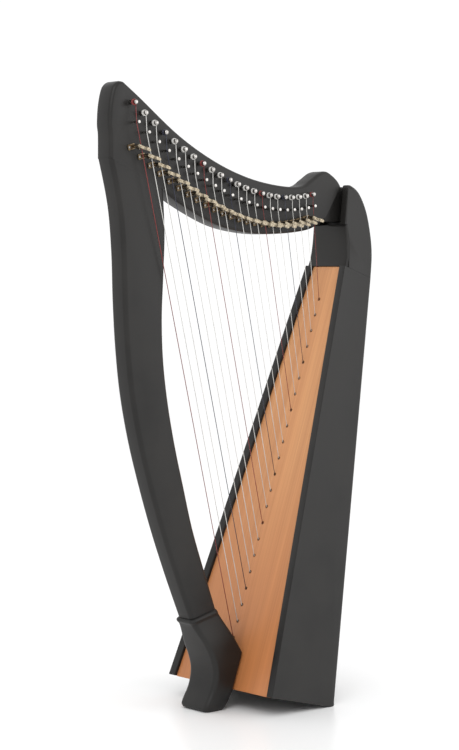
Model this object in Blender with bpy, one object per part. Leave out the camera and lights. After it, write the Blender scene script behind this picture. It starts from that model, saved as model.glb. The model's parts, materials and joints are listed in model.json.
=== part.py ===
"""A lever harp: a curved pillar and neck around a leaning soundbox with a wooden soundboard.

Metres, +Z up. The pillar is towards -X, the soundbox towards +X, and the strings run on the -Y side of the neck.
Outlines are written in a side view (x, z) measured from the soundboard's foot, and the whole harp is then moved so
that its origin is the centre of its footprint.
"""

import math

import bmesh
import bpy
from mathutils import Matrix, Vector

# Clearances
GAP = 0.0003
CUT_THROUGH = 0.02

# Soundbox
BOARD_LEAN = math.radians(19.1)
BOARD_FOOT_HEIGHT = 0.0257
BOARD_LENGTH = 0.6076
BOARD_THICK = 0.004
BOX_HALF_BOTTOM = 0.1082
BOX_HALF_TOP = 0.0400
BOX_DEPTH_BOTTOM = 0.1170
BOX_DEPTH_TOP = 0.0535
SIDE_THICK = 0.012
SIDE_PROUD = 0.0043
SIDE_REAR_ROUND = 0.008
BACK_THICK = 0.005
BASE_THICK = 0.010
BASE_BLOCK_THICK = 0.020
BASE_BLOCK_HEIGHT = 0.045
HEEL_FLAT = 0.010
HEEL_ROUND = 0.007
HEEL_STEPS = 3
LINER_WIDTH = 0.010
LINER_THICK = 0.012
LINER_FOOT = 0.075
LINER_TOP_SETBACK = 0.0226

# Sound holes in the back: distance up the box, half height, half width
SOUND_HOLES = ((0.150, 0.046, 0.034), (0.310, 0.040, 0.028), (0.450, 0.034, 0.021))
SOUND_HOLE_SIDES = 20

# Strings, numbered from 1, the longest, at the pillar
STRING_COUNT = 22
STRING_LEAN = math.radians(15)
STRING_STANDOFF = 0.012
STRING_SHORTEST = 0.135
STRING_STEP = 0.0196
STRING_GROWTH = 0.000395
STRING_RADIUS_THICK = 0.00055
STRING_RADIUS_THIN = 0.00035
TOP_HOLE_SETBACK = 0.0488
BOTTOM_HOLE_ALONG = 0.06845
HOLE_RADIUS = 0.0015
HOLE_SIDES = 6
RIB_WIDTH = 0.014
RIB_THICK = 0.008
RIB_OVERHANG = 0.008

# Tuning pins, with the key's square on the +Y side and the winding on the -Y side
PIN_RADIUS = 0.0029
PIN_SQUARE_HALF = 0.0021
PIN_END_REACH = 0.013
PIN_KEY_REACH = 0.017
PIN_CHAMFER = 0.0008
PIN_RISE_SHORT = 0.016
PIN_RISE_LONG = 0.0255
PIN_SHIFT_LONG = -0.003
WINDING_TURNS = 2
WINDING_PITCH = 0.0017
WINDING_START = 0.0062
WINDING_POINTS = 8

# Bridge pins
BRIDGE_RADIUS = 0.0016
BRIDGE_HEAD_RADIUS = 0.0023
BRIDGE_HEAD_THICK = 0.0016
BRIDGE_OVERHANG = 0.0028
BRIDGE_CLEAR = 0.0005

# Sharping levers: each pivots beside its string, on a small bracket
LEVER_DROP = 0.0115
LEVER_DROP_SHARE = 0.0256
LEVER_REST_ANGLE = math.radians(-18)
LEVER_TRAVEL = math.radians(80)
CAM_REACH = 0.0044
CAM_HALF_WIDTH = 0.0009
CAM_HALF_DEPTH = 0.0026
HUB_RADIUS = 0.0026
HUB_BORE = 0.0013
POST_RADIUS = 0.0010
BLADE_THICK = 0.0018
BLADE_HALF_WIDTH = 0.0022
BLADE_LENGTH = 0.0168
BLADE_STEP_START = 0.0080
BLADE_STEP_END = 0.0098
BLADE_STEP_RISE = 0.0031
BLADE_CLEAR = 0.0014
BRACKET_THICK = 0.0014
BRACKET_BACK = 0.0088
BRACKET_FRONT = 0.0030
BRACKET_HALF_HEIGHT = 0.0036

# Neck, drawn from the pins that it carries
NECK_THICK = 0.030
NECK_ROUND = 0.005
NECK_ABOVE_PINS = ((2, 0.0210), (6, 0.0190), (10, 0.0188), (14, 0.0185), (18, 0.0165), (21, 0.0138))
NECK_BELOW_PINS = ((6, 0.0495), (10, 0.0455), (14, 0.0380), (18, 0.0325), (22, 0.0332))
NECK_HEAD = ((-0.0330, -0.0420), (-0.0345, -0.0280), (-0.0328, -0.0040), (-0.0272, 0.0180), (-0.0185, 0.0262),
             (-0.0098, 0.0262))
NECK_HUMP = ((-0.0435, 0.1220), (-0.0280, 0.1312), (-0.0130, 0.1338), (-0.0005, 0.1296), (0.0090, 0.1222))
NECK_END = ((0.0122, 0.1150), (-0.0224, 0.0625))
TONGUE_THICK = 0.018
TONGUE_ROOT = 0.012
TONGUE_REAR = 0.037
TONGUE_TOP = 0.1125
SEAM_FRONT = (-0.0330, -0.0715)
SEAM_REAR = (0.0565, -0.1120)

# Pillar: how far its two edges bow out from straight lines, at even steps from foot to neck
PILLAR_ROUND = 0.006
PILLAR_FRONT_BOW = (0, -0.0123, -0.0225, -0.0296, -0.0339, -0.0334, -0.0273, -0.0177, -0.0062, 0.0013, 0)
PILLAR_REAR_BOW = (0, -0.0116, -0.0223, -0.0285, -0.0342, -0.0370, -0.0357, -0.0289, -0.0173, -0.0060, 0)

# Foot: front x, front height, rear height and half width, from the collar down to the floor
COLLAR_FRONT = (-0.0655, 0.1273)
COLLAR_REAR = (-0.0210, 0.1380)
FOOT_SECTIONS = ((-0.0655, 0.1270, 0.1377, 0.0165), (-0.0672, 0.1232, 0.1342, 0.0190),
                 (-0.0640, 0.1190, 0.1302, 0.0182), (-0.0595, 0.1120, 0.1215, 0.0200),
                 (-0.0480, 0.0910, 0.0960, 0.0268), (-0.0375, 0.0680, 0.0700, 0.0285),
                 (-0.0343, 0.0500, 0.0500, 0.0285), (-0.0385, 0.0300, 0.0300, 0.0285),
                 (-0.0490, 0.0110, 0.0130, 0.0285), (-0.0512, 0.0050, 0.0050, 0.0278),
                 (-0.0470, 0.0000, 0.0000, 0.0250))
FOOT_HEEL_TOP = 0.0750
FOOT_HEEL_UNDERCUT = 0.016
FOOT_CORNER = 0.007
FOOT_CORNER_STEPS = 3

# Foot bolt, from inside the box through the base block and the soundboard
BOLT_ALONG = 0.034
BOLT_RADIUS = 0.003
BOLT_HEAD_RADIUS = 0.006
BOLT_HEAD_THICK = 0.004
BOLT_BITE = 0.022
BOLT_SIDES = 8

# Shoulder: cheeks, front block and top block, drawn from the top of the soundboard
BLOCK_FRONT = ((-0.0011, 0.0016), (0.0019, 0.0125), (0.0037, 0.0340), (0.0036, 0.0590))
BLOCK_PLATE = 0.0034
BLOCK_DEPTH = 0.030
BLOCK_ROUND = 0.003
CHEEK_FRONT = ((0.0018, 0.0565), (0.0142, 0.1110))
CHEEK_REAR = ((0.0168, 0.1146), (0.0255, 0.1140), (0.0395, 0.1035), (0.0515, 0.0780), (0.0568, 0.0440),
              (0.0565, 0.0150))
TOP_BLOCK_SETBACK = 0.0035
MORTISE_SETBACK = 0.014
MORTISE_FLOOR = 0.0628


def along_board(along, depth=0.0):
    """Side view of the point this far up the soundboard and this deep behind its front face."""
    return (along * math.sin(BOARD_LEAN) + depth * math.cos(BOARD_LEAN),
            BOARD_FOOT_HEIGHT + along * math.cos(BOARD_LEAN) - depth * math.sin(BOARD_LEAN))


def distance_up(x, z):
    return x * math.sin(BOARD_LEAN) + (z - BOARD_FOOT_HEIGHT) * math.cos(BOARD_LEAN)


def half_width(x, z):
    """Half the soundbox's width at a point of its side view."""
    share = distance_up(x, z) / BOARD_LENGTH
    return BOX_HALF_BOTTOM + (BOX_HALF_TOP - BOX_HALF_BOTTOM) * share


def box_depth(along):
    return BOX_DEPTH_BOTTOM + (BOX_DEPTH_TOP - BOX_DEPTH_BOTTOM) * along / BOARD_LENGTH


def offset(origin, points):
    return [(origin[0] + x, origin[1] + z) for x, z in points]


def smooth_line(points, steps):
    """A Catmull-Rom line through the points, with this many steps between each two."""
    padded = [points[0], *points, points[-1]]
    line = []
    for i in range(len(points) - 1):
        before, start, end, after = (Vector(p) for p in padded[i:i + 4])
        for j in range(steps):
            t = j / steps
            line.append(tuple(0.5 * (2 * start + (end - before) * t
                                     + (2 * before - 5 * start + 4 * end - after) * t**2
                                     + (3 * start - before - 3 * end + after) * t**3)))
    return [*line, tuple(points[-1])]


def arc(centre, radii, start, end, steps):
    angles = [math.radians(start + (end - start) * i / steps) for i in range(steps + 1)]
    return [(centre[0] + radii[0] * math.cos(a), centre[1] + radii[1] * math.sin(a)) for a in angles]


def bowed_line(start, end, bows, steps):
    """A line from start to end that bows out along x by these amounts at even steps."""
    last = len(bows) - 1
    points = [(start[0] + (end[0] - start[0]) * i / last + bow, start[1] + (end[1] - start[1]) * i / last)
              for i, bow in enumerate(bows)]
    return smooth_line(points, steps)


def floor_line(x):
    """Height of the soundbox's underside: it slopes from the soundboard's foot down to a flat heel."""
    heel = along_board(0, 0)[0] + HEEL_START
    return BOARD_FOOT_HEIGHT * (1 - x / heel)


SHOULDER = along_board(BOARD_LENGTH)
BOX_HEEL = BOX_DEPTH_BOTTOM / math.cos(BOARD_LEAN) - BOARD_FOOT_HEIGHT * math.tan(BOARD_LEAN)
HEEL_START = BOX_HEEL - HEEL_FLAT
NECK_FACE = NECK_THICK / 2
STRING_PLANE = NECK_FACE + STRING_STANDOFF
HOLE_STEP = (BOARD_LENGTH - TOP_HOLE_SETBACK - BOTTOM_HOLE_ALONG) / (STRING_COUNT - 1)
LINER_TOP = BOARD_LENGTH - LINER_TOP_SETBACK


class HarpString:
    """The places that one string's route and fittings take, in the side view."""

    def __init__(self, number):
        place = STRING_COUNT - number
        self.number = number
        self.length = STRING_SHORTEST + STRING_STEP * place + STRING_GROWTH * place**2
        longest = STRING_SHORTEST + STRING_STEP * (STRING_COUNT - 1) + STRING_GROWTH * (STRING_COUNT - 1)**2
        share = (self.length - STRING_SHORTEST) / (longest - STRING_SHORTEST)
        self.radius = STRING_RADIUS_THIN + (STRING_RADIUS_THICK - STRING_RADIUS_THIN) * share
        self.along = BOARD_LENGTH - TOP_HOLE_SETBACK - HOLE_STEP * place
        self.hole = along_board(self.along)
        self.bridge = self.point_up(self.length)
        self.pin = (self.bridge[0] + PIN_SHIFT_LONG * share,
                    self.bridge[1] + PIN_RISE_SHORT + (PIN_RISE_LONG - PIN_RISE_SHORT) * share)
        self.lever_up = self.length - LEVER_DROP - LEVER_DROP_SHARE * self.length
        self.bend = BRIDGE_RADIUS + BRIDGE_CLEAR + self.radius
        side = self.bend + CAM_REACH + GAP + self.radius
        on_string = self.point_up(self.lever_up)
        self.pivot = (on_string[0] - side * math.cos(STRING_LEAN), on_string[1] - side * math.sin(STRING_LEAN))

    def point_up(self, distance):
        return (self.hole[0] - distance * math.sin(STRING_LEAN), self.hole[1] + distance * math.cos(STRING_LEAN))

    def route(self):
        """Points of the string from the rib, through the soundboard, past the bridge pin and round its tuning pin."""
        root = along_board(self.along, BOARD_THICK + GAP + RIB_THICK / 2)
        mouth = along_board(self.along, -self.radius)
        points = [(root[0], 0, root[1]), (mouth[0], 0, mouth[1]),
                  (self.bridge[0] - self.bend, -STRING_PLANE, self.bridge[1])]
        radius = (PIN_RADIUS + GAP + self.radius) / math.cos(math.pi / WINDING_POINTS)
        for i in range(round(WINDING_TURNS * WINDING_POINTS) + 1):
            turn = i / WINDING_POINTS
            angle = 2 * math.pi * turn
            points.append((self.pin[0] + radius * math.cos(angle),
                           -(NECK_FACE + WINDING_START + WINDING_PITCH * turn),
                           self.pin[1] + radius * math.sin(angle)))
        return points


STRINGS = [HarpString(number) for number in range(1, STRING_COUNT + 1)]


def neck_outline():
    """The neck up to where its tongue starts, clockwise from the front of the joint with the pillar."""
    first = STRINGS[0].pin
    head = smooth_line(offset(first, (SEAM_FRONT, *NECK_HEAD)), 2)
    above = [(STRINGS[n - 1].pin[0], STRINGS[n - 1].pin[1] + rise) for n, rise in NECK_ABOVE_PINS]
    end_top, end_foot = offset(SHOULDER, NECK_END)
    top = smooth_line([head[-1], *above, *offset(SHOULDER, NECK_HUMP), end_top], 2)[1:]
    below = [(STRINGS[n - 1].bridge[0], STRINGS[n - 1].bridge[1] - drop) for n, drop in reversed(NECK_BELOW_PINS)]
    return [*head, *top, *smooth_line([end_foot, *below, offset(first, (SEAM_REAR,))[0]], 3)]


def tongue_outline():
    """The tongue: its root lies inside the neck and the rest fills the mortise between the cheeks."""
    floor = SHOULDER[1] + MORTISE_FLOOR + GAP
    rear = SHOULDER[0] + TONGUE_REAR
    end_top, end_foot = offset(SHOULDER, NECK_END)
    brow = mortise_brow()
    crest = [(x, z) for x, z in inner_curve() if x < rear]
    return [(end_top[0] - TONGUE_ROOT, brow[1]), brow, *crest, (rear, crest[-1][1]), (rear, floor),
            (end_foot[0] + 10 * GAP, floor)]


def cheek_curve():
    """The cheeks' rounded rear, from the top of their front edges down to the side panels."""
    seam = BOARD_LENGTH + GAP
    return smooth_line([*offset(SHOULDER, (CHEEK_FRONT[1], *CHEEK_REAR)), along_board(seam, box_depth(seam))], 2)


def inner_curve():
    """The cheeks' rear curve moved inwards, for what lies between them."""
    line = [Vector(p) for p in cheek_curve()[4:]]
    moved = []
    for before, here, after in zip(line, line[1:], line[2:]):
        along = (after - before).normalized()
        moved.append((here.x + TOP_BLOCK_SETBACK * along.y, here.y - TOP_BLOCK_SETBACK * along.x))
    return moved


def cheek_front(z):
    """The cheeks' straight front edge at a height."""
    (low_x, low_z), (high_x, high_z) = offset(SHOULDER, CHEEK_FRONT)
    return (low_x + (high_x - low_x) * (z - low_z) / (high_z - low_z), z)


def block_rear(inset):
    """The front block's face, moved this far back: what the cheeks' lower front edges follow."""
    return [(x + inset, z) for x, z in offset(SHOULDER, BLOCK_FRONT)]


def mortise_brow():
    """The upper front corner of what lies between the cheeks."""
    x, z = cheek_front(SHOULDER[1] + TONGUE_TOP)
    return (x + MORTISE_SETBACK, z)


def cheek_outline():
    inner = block_rear(BLOCK_PLATE + GAP)
    shelf = inner[-1][1] + GAP
    return [along_board(BOARD_LENGTH + GAP, BLOCK_PLATE + GAP), *inner[1:-1], (inner[-1][0], shelf),
            cheek_front(shelf), *cheek_curve()]


def centre_x():
    """Middle of the harp from front to back, which becomes the origin."""
    front = min(x for x, z in neck_outline())
    rear = max(x for x, z in cheek_outline())
    return (front + rear) / 2


def clear_scene():
    for obj in list(bpy.data.objects):
        bpy.data.objects.remove(obj, do_unlink=True)


def material(name, colour, roughness, metallic=0.0):
    finish = bpy.data.materials.new(name)
    finish.use_nodes = True
    shader = finish.node_tree.nodes["Principled BSDF"]
    shader.inputs["Base Color"].default_value = (*colour, 1)
    shader.inputs["Roughness"].default_value = roughness
    shader.inputs["Metallic"].default_value = metallic
    return finish


def add_object(name, mesh, finish=None, helper=False):
    obj = bpy.data.objects.new(name, mesh)
    bpy.context.scene.collection.objects.link(obj)
    obj.parent = HARP
    if finish:
        mesh.materials.append(finish)
    if helper:
        obj.hide_render = True
        obj.display_type = "WIRE"
    return obj


def finished_mesh(name, bm):
    bmesh.ops.recalc_face_normals(bm, faces=bm.faces)
    mesh = bpy.data.meshes.new(name)
    bm.to_mesh(mesh)
    bm.free()
    return mesh


def extruded(bm, outline, place_low, place_high):
    """Adds a prism: the outline's points at the two places that the functions give."""
    face = bm.faces.new([bm.verts.new(place_low(x, z)) for x, z in outline])
    raised = bmesh.ops.extrude_face_region(bm, geom=[face])["geom"]
    for vert in (v for v in raised if isinstance(v, bmesh.types.BMVert)):
        vert.co = place_high(vert.co.x, vert.co.z)
    bmesh.ops.recalc_face_normals(bm, faces=bm.faces)


def flat_prism(bm, outline, low, high):
    extruded(bm, outline, lambda x, z: (x, low, z), lambda x, z: (x, high, z))


def side_plate(bm, outline, side, outer_inset, inner_inset):
    """A plate that follows the soundbox's tapered side, between two distances in from its outer face."""
    extruded(bm, outline, lambda x, z: (x, side * (half_width(x, z) - outer_inset), z),
             lambda x, z: (x, side * (half_width(x, z) - inner_inset), z))


def round_edges(bm, chosen, radius, segments=2):
    edges = [e for e in bm.edges if chosen(*(v.co for v in e.verts))]
    bmesh.ops.bevel(bm, geom=edges, offset=radius, segments=segments, affect="EDGES", profile=0.5, material=-1)


def subtract(obj, cutter):
    cut = obj.modifiers.new("cut", "BOOLEAN")
    cut.operation = "DIFFERENCE"
    cut.solver = "EXACT"
    cut.object = cutter


def unite(obj, other):
    join = obj.modifiers.new("join", "BOOLEAN")
    join.operation = "UNION"
    join.solver = "EXACT"
    join.object = other


def turned(bm, profile, sides, centre=(0, 0)):
    """Adds a closed turned shape about a line along Y: profile holds (y, radius), from the low end up."""
    rings = []
    for y, radius in profile:
        ring = [bm.verts.new((centre[0] + radius * math.cos(2 * math.pi * i / sides), y,
                              centre[1] + radius * math.sin(2 * math.pi * i / sides))) for i in range(sides)]
        rings.append(ring)
    close_rings(bm, rings)


def close_rings(bm, rings):
    """Bridges rings of the same count one to the next, and caps both ends."""
    for lower, upper in zip(rings, rings[1:]):
        for i in range(len(lower)):
            j = (i + 1) % len(lower)
            bm.faces.new((lower[i], lower[j], upper[j], upper[i]))
    bm.faces.new(rings[0])
    bm.faces.new(rings[-1])


def side_panel_outline():
    seam = BOARD_LENGTH - GAP
    return [along_board(0, -SIDE_PROUD), along_board(seam, -SIDE_PROUD), along_board(seam, box_depth(seam)),
            *heel_arc(), (HEEL_START, 0)]


def heel_arc():
    """The rounded lower rear corner, from the back panel's line down to the floor."""
    reach = HEEL_ROUND * math.tan((math.pi / 2 - back_lean()) / 2)
    centre = (BOX_HEEL - reach, HEEL_ROUND)
    return arc(centre, (HEEL_ROUND, HEEL_ROUND), -math.degrees(back_lean()), -90, HEEL_STEPS)


def is_rounded_rear(a, b):
    """Edges along the rear of a side panel's or cheek's outer face, down to the heel's corner."""
    on_outer = all(abs(abs(v.y) - half_width(v.x, v.z)) < GAP / 3 for v in (a, b))
    behind = all(v.x > min(board_face_x(v.z) + BOX_DEPTH_TOP / 2, SHOULDER[0] + CHEEK_FRONT[1][0] + GAP)
                 for v in (a, b))
    return on_outer and behind and max(a.z, b.z) > HEEL_ROUND / 2


def board_face_x(z):
    return (z - BOARD_FOOT_HEIGHT) * math.tan(BOARD_LEAN)


def make_sides(finish):
    for side, name in ((-1, "left_side_panel"), (1, "right_side_panel")):
        bm = bmesh.new()
        side_plate(bm, side_panel_outline(), side, 0, SIDE_THICK)
        round_edges(bm, is_rounded_rear, SIDE_REAR_ROUND)
        add_object(name, finished_mesh(name, bm), finish)


def make_cheeks(finish):
    for side, name in ((-1, "left_cheek"), (1, "right_cheek")):
        bm = bmesh.new()
        side_plate(bm, cheek_outline(), side, 0, SIDE_THICK)
        round_edges(bm, is_rounded_rear, SIDE_REAR_ROUND)
        add_object(name, finished_mesh(name, bm), finish)


def between_sides(bm, outline):
    """Adds a solid with this side view that fills the box between its two side plates."""
    inset = SIDE_THICK + GAP
    extruded(bm, outline, lambda x, z: (x, inset - half_width(x, z), z), lambda x, z: (x, half_width(x, z) - inset, z))


def make_soundboard(finish):
    top = BOARD_LENGTH - GAP
    bm = bmesh.new()
    between_sides(bm, [along_board(0), along_board(top), along_board(top, BOARD_THICK), along_board(0, BOARD_THICK)])
    board = add_object("soundboard", finished_mesh("soundboard", bm), finish)
    bm = bmesh.new()
    for string in STRINGS:
        drill(bm, string.along, HOLE_RADIUS, -BOARD_THICK, 2 * BOARD_THICK, HOLE_SIDES)
    drill(bm, BOLT_ALONG, BOLT_RADIUS + GAP, -BOARD_THICK, 2 * BOARD_THICK, BOLT_SIDES)
    subtract(board, add_object("board_hole_cutter", finished_mesh("board_hole_cutter", bm), helper=True))


def drill(bm, along, radius, start, end, sides):
    """Adds a rod square to the soundboard, on its middle line, between two depths behind its face."""
    rings = []
    for depth in (start, end):
        x, z = along_board(along, depth)
        ring = []
        for i in range(sides):
            angle = 2 * math.pi * i / sides
            up = radius * math.cos(angle)
            ring.append(bm.verts.new((x + up * math.sin(BOARD_LEAN), radius * math.sin(angle),
                                      z + up * math.cos(BOARD_LEAN))))
        rings.append(ring)
    close_rings(bm, rings)
    bmesh.ops.recalc_face_normals(bm, faces=bm.faces)


def make_back(finish):
    """The back panel, with sound holes that also let a hand in to change a string."""
    top = BOARD_LENGTH - GAP
    foot_inner = BOX_HEEL - BACK_THICK / math.cos(back_lean())
    bm = bmesh.new()
    heel = [(x, z) for x, z in heel_arc() if x > foot_inner + GAP]
    between_sides(bm, [(foot_inner, GAP), along_board(top, box_depth(top) - BACK_THICK),
                       along_board(top, box_depth(top)), *heel])
    back = add_object("back_panel", finished_mesh("back_panel", bm), finish)
    bm = bmesh.new()
    for along, half_height, half_across in SOUND_HOLES:
        rings = []
        for depth in (box_depth(along) - BACK_THICK - CUT_THROUGH, box_depth(along) + CUT_THROUGH):
            ring = []
            for i in range(SOUND_HOLE_SIDES):
                angle = 2 * math.pi * i / SOUND_HOLE_SIDES
                x, z = along_board(along + half_height * math.sin(angle), depth)
                ring.append(bm.verts.new((x, half_across * math.cos(angle), z)))
            rings.append(ring)
        close_rings(bm, rings)
    subtract(back, add_object("sound_hole_cutter", finished_mesh("sound_hole_cutter", bm), helper=True))


def back_lean():
    """Angle of the back panel from upright."""
    top_x, top_z = along_board(BOARD_LENGTH, BOX_DEPTH_TOP)
    return math.atan2(top_x - BOX_HEEL, top_z)


def make_base(finish):
    front_low = along_board(0, BOARD_THICK + GAP)
    front_low = (front_low[0], floor_line(front_low[0]))
    rear = BOX_HEEL - (BACK_THICK + GAP) / math.cos(back_lean())
    heel = min(HEEL_START, rear - GAP)
    rise = BASE_THICK
    rear_high = rear + rise * math.tan(back_lean())
    bm = bmesh.new()
    between_sides(bm, [front_low, (front_low[0] + rise * math.tan(BOARD_LEAN), front_low[1] + rise),
                       (rear_high, floor_line(heel) + rise), (rear, 0), (heel, 0)])
    add_object("base_panel", finished_mesh("base_panel", bm), finish)


def make_base_block(finish):
    """The block inside the box that the foot is bolted to."""
    low = BASE_THICK / math.cos(BOARD_LEAN) + 2 * GAP
    front = BOARD_THICK + GAP
    bm = bmesh.new()
    between_sides(bm, [along_board(low, front), along_board(low + BASE_BLOCK_HEIGHT, front),
                       along_board(low + BASE_BLOCK_HEIGHT, front + BASE_BLOCK_THICK),
                       along_board(low + base_rise(), front + BASE_BLOCK_THICK)])
    block = add_object("base_block", finished_mesh("base_block", bm), finish)
    bm = bmesh.new()
    drill(bm, BOLT_ALONG, BOLT_RADIUS + GAP, 0, front + BASE_BLOCK_THICK + CUT_THROUGH, BOLT_SIDES)
    subtract(block, add_object("block_hole_cutter", finished_mesh("block_hole_cutter", bm), helper=True))


def base_rise():
    """How far the base panel climbs along the soundboard's direction over the base block's thickness."""
    slope = math.atan2(BOARD_FOOT_HEIGHT, HEEL_START)
    return BASE_BLOCK_THICK * math.tan(BOARD_LEAN - slope)


def make_foot_bolt(finish):
    """The bolt's head lies against the base block, and its end bites into the foot."""
    seat = BOARD_THICK + GAP + BASE_BLOCK_THICK + GAP
    bm = bmesh.new()
    drill(bm, BOLT_ALONG, BOLT_RADIUS, -BOLT_BITE, seat + GAP, BOLT_SIDES)
    bolt = add_object("foot_bolt", finished_mesh("foot_bolt", bm), finish)
    bm = bmesh.new()
    drill(bm, BOLT_ALONG, BOLT_HEAD_RADIUS, seat, seat + BOLT_HEAD_THICK, BOLT_SIDES)
    unite(bolt, add_object("bolt_head", finished_mesh("bolt_head", bm), helper=True))


def make_liner(finish):
    """The liner inside the box that the soundboard's edges are glued to: up one side, across the top and down."""
    front = BOARD_THICK + GAP
    corners = [along_board(LINER_FOOT, front), along_board(LINER_TOP, front),
               along_board(LINER_TOP, front + LINER_THICK), along_board(LINER_FOOT, front + LINER_THICK)]
    bm = bmesh.new()
    between_sides(bm, corners)
    liner = add_object("board_liner", finished_mesh("board_liner", bm), finish)
    reach = LINER_TOP - LINER_WIDTH
    inset = SIDE_THICK + GAP + LINER_WIDTH
    window = [along_board(LINER_FOOT - CUT_THROUGH, -front), along_board(reach, -front),
              along_board(reach, front + LINER_THICK + CUT_THROUGH),
              along_board(LINER_FOOT - CUT_THROUGH, front + LINER_THICK + CUT_THROUGH)]
    bm = bmesh.new()
    extruded(bm, window, lambda x, z: (x, inset - half_width(x, z), z), lambda x, z: (x, half_width(x, z) - inset, z))
    subtract(liner, add_object("liner_cutter", finished_mesh("liner_cutter", bm), helper=True))


def make_shoulder_block(finish):
    """The block in front of the cheeks, whose wings cover their lower front edges."""
    front = offset(SHOULDER, BLOCK_FRONT)
    seam = BOARD_LENGTH + GAP
    bottom_rear = along_board(seam, BLOCK_DEPTH)
    top_rear = (front[-1][0] + BLOCK_DEPTH, front[-1][1])
    bm = bmesh.new()
    extruded(bm, [along_board(seam, distance_in(front[0])), *front[1:], top_rear, bottom_rear],
             lambda x, z: (x, -half_width(x, z), z), lambda x, z: (x, half_width(x, z), z))
    low = front[0][1] + BLOCK_ROUND
    round_edges(bm, lambda a, b: is_block_rim(a, b, front, low), BLOCK_ROUND)
    block = add_object("shoulder_block", finished_mesh("shoulder_block", bm), finish)
    for side, name in ((-1, "left_wing_cutter"), (1, "right_wing_cutter")):
        rebate = block_rear(BLOCK_PLATE)
        outline = [(rebate[0][0] - CUT_THROUGH * math.tan(BOARD_LEAN), rebate[0][1] - CUT_THROUGH), *rebate[1:-1],
                   (rebate[-1][0], rebate[-1][1] + CUT_THROUGH),
                   (rebate[-1][0] + 2 * BLOCK_DEPTH, rebate[-1][1] + CUT_THROUGH),
                   (rebate[-1][0] + 2 * BLOCK_DEPTH, rebate[0][1] - 2 * CUT_THROUGH)]
        bm = bmesh.new()
        side_plate(bm, outline, side, -CUT_THROUGH, SIDE_THICK + GAP)
        subtract(block, add_object(name, finished_mesh(name, bm), helper=True))


def distance_in(point):
    """Depth of a side-view point behind the soundboard's face."""
    return point[0] * math.cos(BOARD_LEAN) - (point[1] - BOARD_FOOT_HEIGHT) * math.sin(BOARD_LEAN)


def is_block_rim(a, b, front, low):
    """The block's two front upright edges and the front edge of its top."""
    on_side = all(abs(abs(v.y) - half_width(v.x, v.z)) < GAP / 3 for v in (a, b))
    in_front = all(v.x < front[-1][0] + GAP for v in (a, b))
    upright = on_side and in_front and a.y * b.y > 0 and max(a.z, b.z) > low
    top_edge = all(abs(v.x - front[-1][0]) < GAP and abs(v.z - front[-1][1]) < GAP for v in (a, b))
    return upright or top_edge


def make_top_block(finish):
    """The block between the cheeks, with the mortise that holds the neck's tongue."""
    seam = BOARD_LENGTH + GAP
    block_back = offset(SHOULDER, BLOCK_FRONT)[-1]
    shelf = block_back[1] + GAP
    corner = block_back[0] + BLOCK_DEPTH + GAP
    mouth = cheek_front(shelf)[0] + MORTISE_SETBACK
    bm = bmesh.new()
    between_sides(bm, [along_board(seam, BLOCK_DEPTH + GAP), (corner, block_back[1]), (corner, shelf),
                       (mouth, shelf), mortise_brow(), *inner_curve(),
                       along_board(seam, box_depth(seam) - TOP_BLOCK_SETBACK)])
    block = add_object("top_block", finished_mesh("top_block", bm), finish)
    half = TONGUE_THICK / 2 + GAP
    rear = SHOULDER[0] + TONGUE_REAR + GAP
    floor = SHOULDER[1] + MORTISE_FLOOR
    high = mortise_brow()[1] + CUT_THROUGH
    front = mouth - CUT_THROUGH
    bm = bmesh.new()
    flat_prism(bm, [(front, floor), (front, high), (rear, high), (rear, floor)], -half, half)
    subtract(block, add_object("mortise_cutter", finished_mesh("mortise_cutter", bm), helper=True))


def make_neck(finish):
    bm = bmesh.new()
    flat_prism(bm, neck_outline(), -NECK_FACE, NECK_FACE)
    round_edges(bm, is_neck_rim, NECK_ROUND)
    neck = add_object("neck", finished_mesh("neck", bm), finish)
    bm = bmesh.new()
    flat_prism(bm, tongue_outline(), -TONGUE_THICK / 2, TONGUE_THICK / 2)
    unite(neck, add_object("neck_tongue", finished_mesh("neck_tongue", bm), helper=True))
    bm = bmesh.new()
    reach = NECK_FACE + CUT_THROUGH / 2
    for string in STRINGS:
        turned(bm, ((-reach, PIN_RADIUS + GAP), (reach, PIN_RADIUS + GAP)), 8, string.pin)
    subtract(neck, add_object("pin_hole_cutter", finished_mesh("pin_hole_cutter", bm), helper=True))
    unite(neck, add_object("neck_fittings", neck_fittings(), helper=True))


def is_neck_rim(a, b):
    """Edges round the neck's two faces, but not those of its end or of the joint with the pillar."""
    on_face = abs(a.y - b.y) < GAP and abs(abs(a.y) - NECK_FACE) < GAP
    return on_face and math.hypot(a.x - b.x, a.z - b.z) < 0.055


def neck_fittings():
    """Bridge pins and lever brackets, rooted in the neck's face."""
    root = -(NECK_FACE - BLADE_THICK)
    end = -(STRING_PLANE + BRIDGE_OVERHANG)
    plate = -(NECK_FACE + BRACKET_THICK)
    post_end = -(blade_foot() + BLADE_THICK + GAP)
    bm = bmesh.new()
    for string in STRINGS:
        turned(bm, ((root, BRIDGE_RADIUS), (end + BRIDGE_HEAD_THICK, BRIDGE_RADIUS),
                    (end + BRIDGE_HEAD_THICK, BRIDGE_HEAD_RADIUS), (end, BRIDGE_HEAD_RADIUS)), 8, string.bridge)
        corners = ((-BRACKET_BACK, -1), (-BRACKET_BACK, 1), (BRACKET_FRONT, 1), (BRACKET_FRONT, -1))
        outline = [in_string_frame(string.pivot, across, side * BRACKET_HALF_HEIGHT) for across, side in corners]
        flat_prism(bm, outline, root, plate)
    bmesh.ops.recalc_face_normals(bm, faces=bm.faces)
    plates = add_object("lever_plates", finished_mesh("lever_plates", bm), helper=True)
    bm = bmesh.new()
    for string in STRINGS:
        turned(bm, ((root, POST_RADIUS), (post_end, POST_RADIUS)), 6, string.pivot)
    unite(plates, add_object("lever_posts", finished_mesh("lever_posts", bm), helper=True))
    return applied_mesh(plates)


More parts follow.
